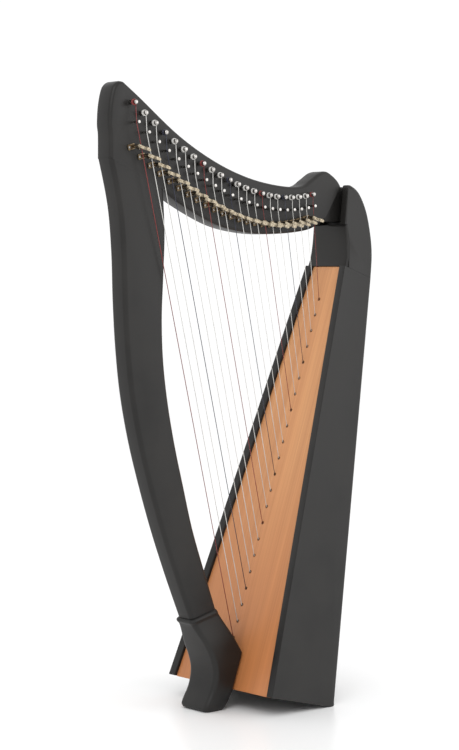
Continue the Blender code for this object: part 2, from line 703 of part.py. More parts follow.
def in_string_frame(origin, across, up):
    """A side-view point this far across and up a string's direction from origin."""
    return (origin[0] + across * math.cos(STRING_LEAN) - up * math.sin(STRING_LEAN),
            origin[1] + across * math.sin(STRING_LEAN) + up * math.cos(STRING_LEAN))


def applied_mesh(obj):
    """A new mesh of the object with its modifiers applied."""
    graph = bpy.context.evaluated_depsgraph_get()
    return bpy.data.meshes.new_from_object(obj.evaluated_get(graph))


def blade_foot():
    """Height above the neck's middle at which a lever's blade starts, clear of the string below it."""
    return STRING_PLANE + BLADE_CLEAR


def lever_mesh():
    """One lever about its pivot, its blade along +X: a bored hub, a cam and a stepped blade."""
    foot = blade_foot()
    top = foot + BLADE_THICK
    bm = bmesh.new()
    profile = ((-HUB_RADIUS, foot), (BLADE_STEP_START, foot), (BLADE_STEP_END, foot + BLADE_STEP_RISE),
               (BLADE_LENGTH, foot + BLADE_STEP_RISE), (BLADE_LENGTH, top + BLADE_STEP_RISE),
               (BLADE_STEP_END - BLADE_THICK / 2, top + BLADE_STEP_RISE), (BLADE_STEP_START - BLADE_THICK / 2, top),
               (-HUB_RADIUS, top))
    face = bm.faces.new([bm.verts.new((x, -y, -BLADE_HALF_WIDTH)) for x, y in profile])
    raised = bmesh.ops.extrude_face_region(bm, geom=[face])["geom"]
    bmesh.ops.translate(bm, verts=[v for v in raised if isinstance(v, bmesh.types.BMVert)],
                        vec=(0, 0, 2 * BLADE_HALF_WIDTH))
    blade = add_object("lever_blade", finished_mesh("lever_blade", bm), helper=True)
    bm = bmesh.new()
    turned(bm, ((-(NECK_FACE + BRACKET_THICK + GAP), HUB_RADIUS), (-(foot + GAP), HUB_RADIUS)), 8)
    unite(blade, add_object("lever_hub", finished_mesh("lever_hub", bm), helper=True))
    engaged = STRING_LEAN - (LEVER_REST_ANGLE + LEVER_TRAVEL)
    middle = STRING_PLANE - 2 * CAM_HALF_WIDTH
    bm = bmesh.new()
    bmesh.ops.create_cube(bm, size=1)
    bmesh.ops.scale(bm, vec=(CAM_REACH, 2 * CAM_HALF_DEPTH, 2 * CAM_HALF_WIDTH), verts=bm.verts)
    bmesh.ops.translate(bm, vec=(CAM_REACH / 2, -middle, 0), verts=bm.verts)
    bmesh.ops.rotate(bm, cent=(0, 0, 0), matrix=Matrix.Rotation(-engaged, 3, "Y"), verts=bm.verts)
    unite(blade, add_object("lever_cam", finished_mesh("lever_cam", bm), helper=True))
    bm = bmesh.new()
    turned(bm, ((-(top + CUT_THROUGH), HUB_BORE), (-(NECK_FACE - CUT_THROUGH / 2), HUB_BORE)), 6)
    subtract(blade, add_object("lever_bore", finished_mesh("lever_bore", bm), helper=True))
    return applied_mesh(blade)


def make_levers(finish):
    mesh = lever_mesh()
    mesh.name = "sharping_lever"
    mesh.materials.append(finish)
    for string in STRINGS:
        lever = add_object(f"sharping_lever_{string.number:02d}", mesh)
        lever.location = (string.pivot[0], 0, string.pivot[1])
        lever.rotation_euler = (0, -LEVER_REST_ANGLE, 0)


def pin_mesh():
    """One tuning pin about its own axis: round through the neck, square where the tuning key fits."""
    inner = NECK_FACE + PIN_CHAMFER
    half_turn = math.pi / 4
    stations = ((-(NECK_FACE + PIN_END_REACH), PIN_RADIUS - PIN_CHAMFER, False),
                (-(NECK_FACE + PIN_END_REACH - PIN_CHAMFER), PIN_RADIUS, False), (inner, PIN_RADIUS, False),
                (inner + PIN_CHAMFER, PIN_SQUARE_HALF, True), (NECK_FACE + PIN_KEY_REACH, PIN_SQUARE_HALF, True))
    bm = bmesh.new()
    rings = []
    for y, size, square in stations:
        ring = []
        for i in range(8):
            radius = size * math.sqrt(2) if square and i % 2 else size
            ring.append(bm.verts.new((radius * math.cos(i * half_turn), y, radius * math.sin(i * half_turn))))
        rings.append(ring)
    close_rings(bm, rings)
    return finished_mesh("tuning_pin", bm)


def make_tuning_pins(finish):
    mesh = pin_mesh()
    mesh.materials.append(finish)
    for string in STRINGS:
        pin = add_object(f"tuning_pin_{string.number:02d}", mesh)
        pin.location = (string.pin[0], 0, string.pin[1])


def make_pillar(finish):
    first = STRINGS[0].pin
    top_front, top_rear = offset(first, (SEAM_FRONT, SEAM_REAR))
    drop = 2 * GAP
    front = bowed_line(COLLAR_FRONT, (top_front[0], top_front[1] - drop), PILLAR_FRONT_BOW, 2)
    rear = bowed_line(COLLAR_REAR, (top_rear[0], top_rear[1] - drop), PILLAR_REAR_BOW, 2)
    bm = bmesh.new()
    flat_prism(bm, [*front, *reversed(rear)], -NECK_FACE, NECK_FACE)
    round_edges(bm, is_pillar_rim, PILLAR_ROUND)
    add_object("pillar", finished_mesh("pillar", bm), finish)


def is_pillar_rim(a, b):
    """The long edges of the pillar's two faces."""
    on_face = abs(a.y - b.y) < GAP
    end_edge = abs(a.x - b.x) > abs(a.z - b.z) * 1.2
    return on_face and not end_edge


def foot_rear(z):
    """The foot's rear: down from the pillar to the soundboard, along it, and under it to the floor."""
    heel = board_face_x(FOOT_HEEL_TOP)
    if z > FOOT_HEEL_TOP:
        share = (z - FOOT_HEEL_TOP) / (COLLAR_REAR[1] - FOOT_HEEL_TOP)
        return heel + (COLLAR_REAR[0] - heel) * share
    if z > BOARD_FOOT_HEIGHT:
        return board_face_x(z)
    return -FOOT_HEEL_UNDERCUT * (1 - z / BOARD_FOOT_HEIGHT)


def make_foot(finish):
    """The flared foot, lofted through rounded sections from the collar to the floor."""
    sections = smooth_sections(FOOT_SECTIONS)
    bm = bmesh.new()
    rings = [foot_ring(bm, *section) for section in sections]
    close_rings(bm, rings)
    foot = add_object("pillar_foot", finished_mesh("pillar_foot", bm), finish)
    bm = bmesh.new()
    drill(bm, BOLT_ALONG, BOLT_RADIUS + GAP, -(BOLT_BITE + GAP), BOARD_THICK, BOLT_SIDES)
    subtract(foot, add_object("foot_hole_cutter", finished_mesh("foot_hole_cutter", bm), helper=True))


def smooth_sections(sections):
    """The sections with one more between each two of the long flare, on a smooth line through them."""
    collar, flare, sole = sections[:3], sections[3:-2], sections[-2:]
    line = []
    ends = [collar[-1], *flare, sole[0]]
    for before, start, end, after in zip(ends, ends[1:], ends[2:], [*ends[3:], ends[-1]]):
        line.append(start)
        line.append(tuple((9 * (b + c) - a - d) / 16 for a, b, c, d in zip(before, start, end, after)))
    return [*collar, *line, *sole]


def foot_ring(bm, front_x, front_z, rear_z, half):
    """A rounded rectangle of vertices between the foot's front and rear at one height."""
    rear_x = foot_rear(rear_z) - GAP / math.cos(BOARD_LEAN)
    length = math.hypot(rear_x - front_x, rear_z - front_z)
    corner = min(FOOT_CORNER, half / 2)
    ring = []
    for turn, (middle, across) in enumerate(((length - corner, half - corner), (corner, half - corner),
                                             (corner, corner - half), (length - corner, corner - half))):
        for i in range(FOOT_CORNER_STEPS + 1):
            angle = math.pi / 2 * (turn + i / FOOT_CORNER_STEPS)
            share = (middle + corner * math.cos(angle)) / length
            y = across + corner * math.sin(angle)
            ring.append(bm.verts.new((front_x + (rear_x - front_x) * share, y, front_z + (rear_z - front_z) * share)))
    return ring


def make_strings(finish):
    """All the strings, held together by the rib inside the box that their ends are knotted to."""
    tubes = []
    for string in STRINGS:
        curve = bpy.data.curves.new("string_route", "CURVE")
        curve.dimensions = "3D"
        curve.bevel_depth = string.radius
        curve.bevel_resolution = 1
        curve.use_fill_caps = True
        points = string.route()
        spline = curve.splines.new("POLY")
        spline.points.add(len(points) - 1)
        for point, place in zip(spline.points, points):
            point.co = (*place, 1)
        tubes.append(add_object("string_tube", curve, helper=True))
    bm = bmesh.new()
    graph = bpy.context.evaluated_depsgraph_get()
    for tube in tubes:
        mesh = bpy.data.meshes.new_from_object(tube.evaluated_get(graph))
        bm.from_mesh(mesh)
    bmesh.ops.remove_doubles(bm, verts=bm.verts, dist=0.000001)
    wires = add_object("string_wires", finished_mesh("string_wires", bm), helper=True)
    low = STRINGS[0].along - RIB_OVERHANG
    high = STRINGS[-1].along + RIB_OVERHANG
    front = BOARD_THICK + GAP
    bm = bmesh.new()
    flat_prism(bm, [along_board(low, front), along_board(high, front), along_board(high, front + RIB_THICK),
                    along_board(low, front + RIB_THICK)], -RIB_WIDTH / 2, RIB_WIDTH / 2)
    strings = add_object("strings", finished_mesh("strings", bm), finish)
    unite(strings, wires)
    for tube in tubes:
        bpy.data.objects.remove(tube)
    print(f"least gap between the turns of a winding: {1000 * least_winding_gap():.2f} mm")


def least_winding_gap():
    """The least gap between points of one string's winding that lie half a turn or more apart."""
    least = math.inf
    for string in STRINGS:
        points = [Vector(p) for p in string.route()[3:]]
        for i, first in enumerate(points):
            for second in points[i + WINDING_POINTS // 2:]:
                least = min(least, (second - first).length - 2 * string.radius)
    return least


def smooth_shading():
    for obj in bpy.context.scene.objects:
        if obj.type == "MESH" and not obj.hide_render:
            obj.data.shade_smooth()
            obj.data.set_sharp_from_angle(angle=math.radians(40))


clear_scene()
HARP = bpy.data.objects.new("harp", None)
bpy.context.scene.collection.objects.link(HARP)
HARP.location = (-centre_x(), 0, 0)

BLACK = material("satin_black", (0.045, 0.043, 0.043), 0.42)
INSIDE_WOOD = material("inner_wood", (0.45, 0.30, 0.18), 0.7)
BOARD_WOOD = material("soundboard_wood", (0.62, 0.33, 0.17), 0.45)
STRING_NYLON = material("string_nylon", (0.85, 0.84, 0.80), 0.3)
NICKEL = material("nickel", (0.72, 0.70, 0.66), 0.25, 1.0)
LEVER_METAL = material("lever_metal", (0.70, 0.62, 0.48), 0.3, 1.0)
STEEL = material("bolt_steel", (0.45, 0.45, 0.46), 0.35, 1.0)

make_neck(BLACK)
make_pillar(BLACK)
make_foot(BLACK)
make_sides(BLACK)
make_cheeks(BLACK)
make_shoulder_block(BLACK)
make_top_block(BLACK)
make_back(BLACK)
make_base(BLACK)
make_base_block(INSIDE_WOOD)
make_liner(INSIDE_WOOD)
make_foot_bolt(STEEL)
make_soundboard(BOARD_WOOD)
make_strings(STRING_NYLON)
make_tuning_pins(NICKEL)
make_levers(LEVER_METAL)
smooth_shading()
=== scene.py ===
# %% [markdown]
# # A lever harp, dressed for its portrait
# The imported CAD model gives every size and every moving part. Pieces whose edges, turns or finish show from a
# step away are built again here and ride on the CAD bodies. The other CAD solids only get a better material.

# %% Load the frame
import json
import math

import bmesh
import bpy
from mathutils import Matrix, Vector


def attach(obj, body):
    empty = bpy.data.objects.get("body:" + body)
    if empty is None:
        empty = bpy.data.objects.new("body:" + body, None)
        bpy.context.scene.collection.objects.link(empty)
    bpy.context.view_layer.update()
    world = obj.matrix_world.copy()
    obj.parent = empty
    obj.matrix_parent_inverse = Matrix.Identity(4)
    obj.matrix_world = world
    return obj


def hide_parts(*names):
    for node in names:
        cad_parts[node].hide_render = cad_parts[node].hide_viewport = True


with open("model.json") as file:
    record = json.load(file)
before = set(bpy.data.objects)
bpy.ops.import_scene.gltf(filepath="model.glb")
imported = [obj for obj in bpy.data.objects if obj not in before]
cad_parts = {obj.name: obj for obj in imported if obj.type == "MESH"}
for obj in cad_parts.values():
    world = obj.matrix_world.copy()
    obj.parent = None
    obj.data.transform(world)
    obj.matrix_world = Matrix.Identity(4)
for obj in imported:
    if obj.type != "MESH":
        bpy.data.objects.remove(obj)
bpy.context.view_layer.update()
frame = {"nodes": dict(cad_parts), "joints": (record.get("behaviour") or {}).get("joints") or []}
nodes = frame["nodes"]
joint_places = {joint["child"]: Vector(joint["pos_m"]) for joint in frame["joints"]}
print(f"{len(nodes)} CAD nodes, {len(joint_places)} of them on joints")

# %% [markdown]
# ## The leaning soundboard
# A harp is laid out from its soundboard, which the strings pull at a slant. Sizes are in metres, and a side
# view is made of (x, z) points from the board's foot. A function turns a distance along the board into such a
# point, which is easier to follow than a turned object.

# %% The soundboard's line
BOARD_LEAN = math.radians(19.1)
BOARD_FOOT_HEIGHT = 0.0257
BOARD_LENGTH = 0.6076
BOARD_THICK = 0.004
SEAM_GAP = 0.0003
TIGHT_GAP = 0.0001


def along_board(along, depth=0.0):
    """Side view of the point this far up the soundboard and this deep behind its front face."""
    return (along * math.sin(BOARD_LEAN) + depth * math.cos(BOARD_LEAN),
            BOARD_FOOT_HEIGHT + along * math.cos(BOARD_LEAN) - depth * math.sin(BOARD_LEAN))


def board_face_x(z):
    """Where the soundboard's front face is at a height."""
    return (z - BOARD_FOOT_HEIGHT) * math.tan(BOARD_LEAN)


SHOULDER = along_board(BOARD_LENGTH)
print(f"the soundboard's top is {SHOULDER[1]:.3f} m above the floor")

# %% [markdown]
# ## The strings' layout
# The strings get longer by a growing step, which gives the neck its curve. A small class keeps each string's
# hole, bridge pin, tuning pin and lever pivot together, so that every fitting below asks the string where it
# goes. The first pin's joint then tells how far the side view is moved to lie in the shared frame.

# %% The strings' layout
STRING_COUNT = 22
STRING_LEAN = math.radians(15)
STRING_PLANE = 0.027
STRING_SHORTEST = 0.135
STRING_STEP = 0.0196
STRING_GROWTH = 0.000395
STRING_RADIUS_THIN = 0.00035
STRING_RADIUS_THICK = 0.00055
TOP_HOLE_ALONG = 0.5588
HOLE_STEP = 0.02335
BRIDGE_RADIUS = 0.0016
BRIDGE_CLEAR = 0.0005
PIN_RISE_SHORT = 0.016
PIN_RISE_LONG = 0.0255
PIN_SHIFT_LONG = -0.003
LEVER_DROP = 0.0115
LEVER_DROP_SHARE = 0.0256
CAM_REACH = 0.0044


def in_string_frame(origin, across, up):
    """A side-view point this far across and up a string's direction from origin."""
    return (origin[0] + across * math.cos(STRING_LEAN) - up * math.sin(STRING_LEAN),
            origin[1] + across * math.sin(STRING_LEAN) + up * math.cos(STRING_LEAN))


def string_length(place):
    """Speaking length of the string this many places from the shortest."""
    return STRING_SHORTEST + STRING_STEP * place + STRING_GROWTH * place**2


class HarpString:
    """The side-view places of one string and its fittings; string 1 is the longest."""

    def __init__(self, number):
        place = STRING_COUNT - number
        self.number = number
        self.length = string_length(place)
        share = (self.length - STRING_SHORTEST) / (string_length(STRING_COUNT - 1) - STRING_SHORTEST)
        self.radius = STRING_RADIUS_THIN + (STRING_RADIUS_THICK - STRING_RADIUS_THIN) * share
        self.along = TOP_HOLE_ALONG - HOLE_STEP * place
        self.hole = along_board(self.along)
        self.bridge = in_string_frame(self.hole, 0, self.length)
        self.pin = (self.bridge[0] + PIN_SHIFT_LONG * share,
                    self.bridge[1] + PIN_RISE_SHORT + (PIN_RISE_LONG - PIN_RISE_SHORT) * share)
        self.bend = BRIDGE_RADIUS + BRIDGE_CLEAR + self.radius
        side = self.bend + CAM_REACH + SEAM_GAP + self.radius
        at_lever = in_string_frame(self.hole, 0, self.length - LEVER_DROP - LEVER_DROP_SHARE * self.length)
        self.pivot = in_string_frame(at_lever, -side, 0)


STRINGS = [HarpString(number) for number in range(1, STRING_COUNT + 1)]
SHIFT = joint_places["tuning_pin_01"].x - STRINGS[0].pin[0]
print(f"strings from {STRINGS[-1].length:.3f} to {STRINGS[0].length:.3f} m, moved {SHIFT:.4f} m along X")

# %% [markdown]
# ## Finishes
# A real surface is never one flat colour, so each finish is procedural: noise in Object coordinates varies
# the colour and roughness and raises a fine grain. What more than one material needs is a node group with
# named inputs, and the Principled shader itself stays in the material.
#
# ### An uneven surface
# Lacquer, metal and nylon are a little cloudy in colour and gloss. One noise does both, so that a paler patch
# is also the rougher one, and a second, much finer noise is the height.

# %% An uneven surface
def new_group(name, inputs, outputs):
    """A shader group with these inputs (name, kind, value) and outputs (name, kind)."""
    group = bpy.data.node_groups.new(name, "ShaderNodeTree")
    for socket, kind, value in inputs:
        made = group.interface.new_socket(socket, in_out="INPUT", socket_type=kind)
        made.default_value = value
    for socket, kind in outputs:
        group.interface.new_socket(socket, in_out="OUTPUT", socket_type=kind)
    source = group.nodes.new("NodeGroupInput")
    target = group.nodes.new("NodeGroupOutput")
    return group, source, target


def remap(group, value, low, high):
    """Spreads a noise value, which stays mostly between 0.3 and 0.7, from low to high."""
    mapped = group.nodes.new("ShaderNodeMapRange")
    mapped.inputs["From Min"].default_value = 0.3
    mapped.inputs["From Max"].default_value = 0.7
    for socket, bound in (("To Min", low), ("To Max", high)):
        if isinstance(bound, float):
            mapped.inputs[socket].default_value = bound
        else:
            group.links.new(bound, mapped.inputs[socket])
    group.links.new(value, mapped.inputs["Value"])
    return mapped.outputs["Result"]


def mix_colour(group, factor, first, second):
    mixed = group.nodes.new("ShaderNodeMix")
    mixed.data_type = "RGBA"
    group.links.new(factor, mixed.inputs["Factor"])
    colour_sockets = [socket for socket in mixed.inputs if socket.type == "RGBA"]
    for socket, colour in zip(colour_sockets, (first, second)):
        group.links.new(colour, socket)
    return next(socket for socket in mixed.outputs if socket.type == "RGBA")


def surface_group():
    """Cloudy colour and roughness with a fine grain in the height, for lacquer, metal and nylon."""
    group, source, target = new_group(
        "uneven_surface",
        (("Light", "NodeSocketColor", (1, 1, 1, 1)), ("Dark", "NodeSocketColor", (0, 0, 0, 1)),
         ("Smoothest", "NodeSocketFloat", 0.3), ("Roughest", "NodeSocketFloat", 0.5),
         ("Cloud Scale", "NodeSocketFloat", 20.0), ("Grain Scale", "NodeSocketFloat", 900.0)),
        (("Color", "NodeSocketColor"), ("Roughness", "NodeSocketFloat"), ("Height", "NodeSocketFloat")))
    place = group.nodes.new("ShaderNodeTexCoord").outputs["Object"]
    cloud = group.nodes.new("ShaderNodeTexNoise")
    cloud.inputs["Detail"].default_value = 4
    grain = group.nodes.new("ShaderNodeTexNoise")
    grain.inputs["Detail"].default_value = 2
    for texture, scale in ((cloud, "Cloud Scale"), (grain, "Grain Scale")):
        group.links.new(place, texture.inputs["Vector"])
        group.links.new(source.outputs[scale], texture.inputs["Scale"])
    rough = remap(group, cloud.outputs["Fac"], source.outputs["Smoothest"], source.outputs["Roughest"])
    blend = remap(group, cloud.outputs["Fac"], 0.0, 1.0)
    colour = mix_colour(group, blend, source.outputs["Dark"], source.outputs["Light"])
    group.links.new(colour, target.inputs["Color"])
    group.links.new(rough, target.inputs["Roughness"])
    group.links.new(grain.outputs["Fac"], target.inputs["Height"])
    return group


SURFACE = surface_group()
print(SURFACE.name, "takes", [item.name for item in SURFACE.interface.items_tree if item.in_out == "INPUT"])

# %% [markdown]
# ### Straight grain
# The soundboard's grain runs straight up the board. A Mapping node leans the pattern like the board, and
# others squeeze it along the grain, which stretches the noise into lines. Three scales give fine lines,
# streaks and broad bands, and the wood gets warmer and darker towards the foot, as in the photograph.

# %% Straight grain
GRAIN_SCALES = {"fine": ((1, 1, 0.012), 420.0), "streak": ((1, 1, 0.02), 90.0), "broad": ((1, 1, 0.12), 14.0)}
FADE_BOTTOM = 0.02
FADE_TOP = 0.42


def noise(group, vector, scale, detail=3.0):
    texture = group.nodes.new("ShaderNodeTexNoise")
    texture.inputs["Scale"].default_value = scale
    texture.inputs["Detail"].default_value = detail
    group.links.new(vector, texture.inputs["Vector"])
    return texture.outputs["Fac"]


def grain_group():
    """Straight fine wood grain that runs up the leaning soundboard, warmer and darker towards the foot."""
    group, source, target = new_group(
        "straight_grain",
        (("Pale", "NodeSocketColor", (1, 1, 1, 1)), ("Deep", "NodeSocketColor", (0.5, 0.3, 0.2, 1)),
         ("Foot", "NodeSocketColor", (0.5, 0.3, 0.2, 1))),
        (("Color", "NodeSocketColor"), ("Roughness", "NodeSocketFloat"), ("Height", "NodeSocketFloat")))
    place = group.nodes.new("ShaderNodeTexCoord").outputs["Object"]
    upright = group.nodes.new("ShaderNodeMapping")
    upright.inputs["Rotation"].default_value = (0, -BOARD_LEAN, 0)
    group.links.new(place, upright.inputs["Vector"])
    lines = {}
    for name, (stretch, scale) in GRAIN_SCALES.items():
        long = group.nodes.new("ShaderNodeMapping")
        long.inputs["Scale"].default_value = stretch
        group.links.new(upright.outputs["Vector"], long.inputs["Vector"])
        lines[name] = noise(group, long.outputs["Vector"], scale)
    height = group.nodes.new("ShaderNodeSeparateXYZ")
    group.links.new(place, height.inputs["Vector"])
    fall = group.nodes.new("ShaderNodeMapRange")
    fall.inputs["From Min"].default_value = FADE_BOTTOM
    fall.inputs["From Max"].default_value = FADE_TOP
    fall.interpolation_type = "SMOOTHSTEP"
    group.links.new(height.outputs["Z"], fall.inputs["Value"])
    base = mix_colour(group, fall.outputs["Result"], source.outputs["Foot"], source.outputs["Pale"])
    blended = mix_colour(group, remap(group, lines["streak"], 0.0, 0.42), base, source.outputs["Deep"])
    lined = mix_colour(group, remap(group, lines["fine"], 0.0, 0.35), blended, source.outputs["Deep"])
    washed = mix_colour(group, remap(group, lines["broad"], 0.0, 0.45), lined, source.outputs["Foot"])
    group.links.new(washed, target.inputs["Color"])
    group.links.new(remap(group, lines["fine"], 0.34, 0.48), target.inputs["Roughness"])
    group.links.new(lines["fine"], target.inputs["Height"])
    return group


GRAIN = grain_group()
print(GRAIN.name, "takes", [item.name for item in GRAIN.interface.items_tree if item.in_out == "INPUT"])

# %% [markdown]
# ### The materials
# The frame is satin black lacquer. Hardware is nickel, pale gold and dark brass, and each metal differs in
# how far its light and dark patches are apart. What is even all over, such as Metallic, is a plain number.

# %% The materials
BUMP_DEPTH = 0.0002
GRAIN_SCALE = 900.0


def finish(name, group, settings, bump, metallic=0.0, specular=0.5):
    """A Principled material whose colour, roughness and bump come from one of the groups."""
    made = bpy.data.materials.new(name)
    made.use_nodes = True
    tree = made.node_tree
    shader = tree.nodes["Principled BSDF"]
    shader.inputs["Metallic"].default_value = metallic
    shader.inputs["Specular IOR Level"].default_value = specular
    source = tree.nodes.new("ShaderNodeGroup")
    source.node_tree = group
    for socket, value in settings.items():
        source.inputs[socket].default_value = value
    tree.links.new(source.outputs["Color"], shader.inputs["Base Color"])
    tree.links.new(source.outputs["Roughness"], shader.inputs["Roughness"])
    relief = tree.nodes.new("ShaderNodeBump")
    relief.inputs["Strength"].default_value = bump
    relief.inputs["Distance"].default_value = BUMP_DEPTH
    tree.links.new(source.outputs["Height"], relief.inputs["Height"])
    tree.links.new(relief.outputs["Normal"], shader.inputs["Normal"])
    return made


def uneven(name, light, dark, smoothest, roughest, cloud, bump, metallic=0.0, specular=0.5):
    """A material of the uneven surface: two colours, two roughnesses and how fine its clouds are."""
    return finish(name, SURFACE, {"Light": (*light, 1), "Dark": (*dark, 1), "Smoothest": smoothest,
                                  "Roughest": roughest, "Cloud Scale": cloud, "Grain Scale": GRAIN_SCALE},
                  bump, metallic, specular)


def nylon(name, light, dark):
    return uneven(name, light, dark, 0.18, 0.3, 60.0, bump=0.05)


BLACK = uneven("black_lacquer", (0.0185, 0.0173, 0.0160), (0.0085, 0.0078, 0.0073), 0.36, 0.5, 14.0,
               bump=0.12, specular=0.3)
BARE_WOOD = uneven("bare_wood", (0.50, 0.34, 0.20), (0.38, 0.24, 0.13), 0.6, 0.8, 40.0, bump=0.5)
BOARD = finish("soundboard_wood", GRAIN, {"Pale": (0.69, 0.345, 0.143, 1), "Deep": (0.34, 0.125, 0.045, 1),
                                          "Foot": (0.56, 0.21, 0.07, 1)}, bump=0.25)
CLEAR_NYLON = nylon("clear_nylon", (0.66, 0.65, 0.62), (0.54, 0.53, 0.51))
RED_NYLON = nylon("red_nylon", (0.20, 0.022, 0.02), (0.14, 0.014, 0.013))
DARK_NYLON = nylon("dark_nylon", (0.02, 0.022, 0.045), (0.012, 0.014, 0.03))
NICKEL = uneven("polished_nickel", (0.56, 0.54, 0.52), (0.26, 0.25, 0.235), 0.16, 0.32, 300.0,
                bump=0.1, metallic=1.0)
GOLD = uneven("pale_gold", (0.46, 0.40, 0.30), (0.10, 0.078, 0.05), 0.22, 0.42, 420.0,
              bump=0.2, metallic=1.0)
AGED_BRASS = uneven("aged_brass", (0.26, 0.195, 0.12), (0.11, 0.08, 0.05), 0.3, 0.46, 260.0,
                    bump=0.15, metallic=1.0)
# The eyelets' bronze is partly painted shade: it is made dark to stand for the shaded string hole and the small
# shadow round it.
BRONZE_AND_HOLE_SHADE = uneven("bronze_with_painted_hole_shade", (0.16, 0.09, 0.045), (0.07, 0.04, 0.02), 0.35, 0.5, 300.0,
                bump=0.2, metallic=0.6)
STEEL = uneven("zinc_steel", (0.5, 0.5, 0.51), (0.38, 0.38, 0.4), 0.3, 0.45, 200.0, bump=0.2, metallic=1.0)
print(len(bpy.data.materials), "materials")

# %% [markdown]
# ## CAD solids that stay
# The inner pieces, the back and the soundboard already have their final shape, so only their finish changes.

# %% CAD solids that stay
KEPT_SOLIDS = {"top_block": BLACK, "back_panel": BLACK, "base_panel": BLACK, "base_block": BARE_WOOD,
               "board_liner": BARE_WOOD, "foot_bolt": STEEL, "soundboard": BOARD}
for name, kept_finish in KEPT_SOLIDS.items():
    mesh = nodes[name].data
    mesh.materials.clear()
    mesh.materials.append(kept_finish)
print("kept:", ", ".join(KEPT_SOLIDS))

# %% [markdown]
# ## Adding a finished piece
# A piece keeps its place in its mesh, and its object stays at the origin. So each mesh is moved by the same
# shift, its normals point outwards, and only its real corners stay sharp. Then it is told which body it rides
# on and which CAD nodes it stands for.

# %% Adding a finished piece
SHARP_ANGLE = math.radians(38)


def settled_mesh(name, bm):
    """The finished mesh in the shared frame, smooth apart from its real corners."""
    bmesh.ops.translate(bm, verts=bm.verts, vec=(SHIFT, 0, 0))
    bmesh.ops.recalc_face_normals(bm, faces=bm.faces)
    mesh = bpy.data.meshes.new(name)
    bm.to_mesh(mesh)
    bm.free()
    mesh.shade_smooth()
    mesh.set_sharp_from_angle(angle=SHARP_ANGLE)
    print(f"{name}: {len(mesh.polygons)} faces")
    return mesh


def added(name, data):
    """A new object in the scene."""
    obj = bpy.data.objects.new(name, data)
    bpy.context.scene.collection.objects.link(obj)
    return obj


def piece(name, shape, material, body="frame", stands_for=()):
    """Adds a finished piece that rides on a body and, where it says so, stands for CAD nodes."""
    obj = added(name, settled_mesh(name, shape) if isinstance(shape, bmesh.types.BMesh) else shape)
    obj.data.materials.append(material)
    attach(obj, body)
    if stands_for:
        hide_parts(*stands_for)


print(f"edges sharper than {math.degrees(SHARP_ANGLE):.0f} degrees stay sharp")

# %% [markdown]
# ## The neck
# The neck is one long curve over the tuning pins, with a humped end at the shoulder and a head that leans
# forward over the pillar. It could be a free curve, but its edges follow the pins, so it is drawn from them.
# Both faces have the same soft edge all round, except where the pillar joins.

# %% The neck's outline
NECK_FACE = 0.015
NECK_ROUND = 0.005
NECK_ABOVE_PINS = ((2, 0.0210), (6, 0.0190), (10, 0.0188), (14, 0.0185), (18, 0.0165), (21, 0.0138))
NECK_BELOW_PINS = ((6, 0.0495), (10, 0.0455), (14, 0.0380), (18, 0.0325), (22, 0.0332))
NECK_HEAD = ((-0.0330, -0.0420), (-0.0345, -0.0280), (-0.0328, -0.0040), (-0.0272, 0.0180), (-0.0185, 0.0262),
             (-0.0098, 0.0262))
NECK_HUMP = ((-0.0435, 0.1220), (-0.0280, 0.1312), (-0.0150, 0.1335), (-0.0030, 0.1285), (0.0070, 0.1212))
NECK_END = ((0.0122, 0.1150), (-0.0224, 0.0625))
SEAM_FRONT = (-0.0330, -0.0715)
SEAM_REAR = (0.0565, -0.1120)
NECK_STEPS = 8


def offset(origin, points):
    return [(origin[0] + x, origin[1] + z) for x, z in points]


def smooth_line(points, steps):
    """A Catmull-Rom line through the points, with this many steps between each two."""
    padded = [points[0], *points, points[-1]]
    line = []
    for i in range(len(points) - 1):
        before, start, end, after = (Vector(p) for p in padded[i:i + 4])
        for j in range(steps):
            t = j / steps
            line.append(tuple(0.5 * (2 * start + (end - before) * t
                                     + (2 * before - 5 * start + 4 * end - after) * t**2
                                     + (3 * start - before - 3 * end + after) * t**3)))
    return [*line, tuple(points[-1])]


def neck_outline():
    """The neck's side view, clockwise from the front of its joint with the pillar."""
    first = STRINGS[0].pin
    head = smooth_line(offset(first, (SEAM_FRONT, *NECK_HEAD)), NECK_STEPS)
    above = [(STRINGS[n - 1].pin[0], STRINGS[n - 1].pin[1] + rise) for n, rise in NECK_ABOVE_PINS]
    end_top, end_foot = offset(SHOULDER, NECK_END)
    top = smooth_line([head[-1], *above, *offset(SHOULDER, NECK_HUMP), end_top], NECK_STEPS)[1:]
    below = [(STRINGS[n - 1].bridge[0], STRINGS[n - 1].bridge[1] - drop)
             for n, drop in reversed(NECK_BELOW_PINS)]
    return [*head, *top, *smooth_line([end_foot, *below, offset(first, (SEAM_REAR,))[0]], NECK_STEPS)]


print("the neck's outline has", len(neck_outline()), "points")

# %% [markdown]
# ### From outline to plank
# A plate is a side view that is pulled sideways. Its edges are softened by a bevel, which finds them by a
# rule about their two ends, because edge numbers would change with the shape.

# %% The neck's plank
SAME_PLACE = 1e-6
LONGEST_RIM_EDGE = 0.055


def extruded(bm, outline, place_low, place_high):
    """Adds a prism: the outline's points at the two places that the functions give."""
    face = bm.faces.new([bm.verts.new(place_low(x, z)) for x, z in outline])
    raised = bmesh.ops.extrude_face_region(bm, geom=[face])["geom"]
    for vert in (v for v in raised if isinstance(v, bmesh.types.BMVert)):
        vert.co = place_high(vert.co.x, vert.co.z)
    bmesh.ops.recalc_face_normals(bm, faces=bm.faces)


def flat_prism(bm, outline, low, high):
    extruded(bm, outline, lambda x, z: (x, low, z), lambda x, z: (x, high, z))


def round_edges(bm, chosen, radius, segments):
    """Bevels the edges for whose two ends the rule holds."""
    edges = [e for e in bm.edges if chosen(*(v.co for v in e.verts))]
    bmesh.ops.bevel(bm, geom=edges, offset=radius, segments=segments, affect="EDGES", profile=0.5,
                    material=-1)


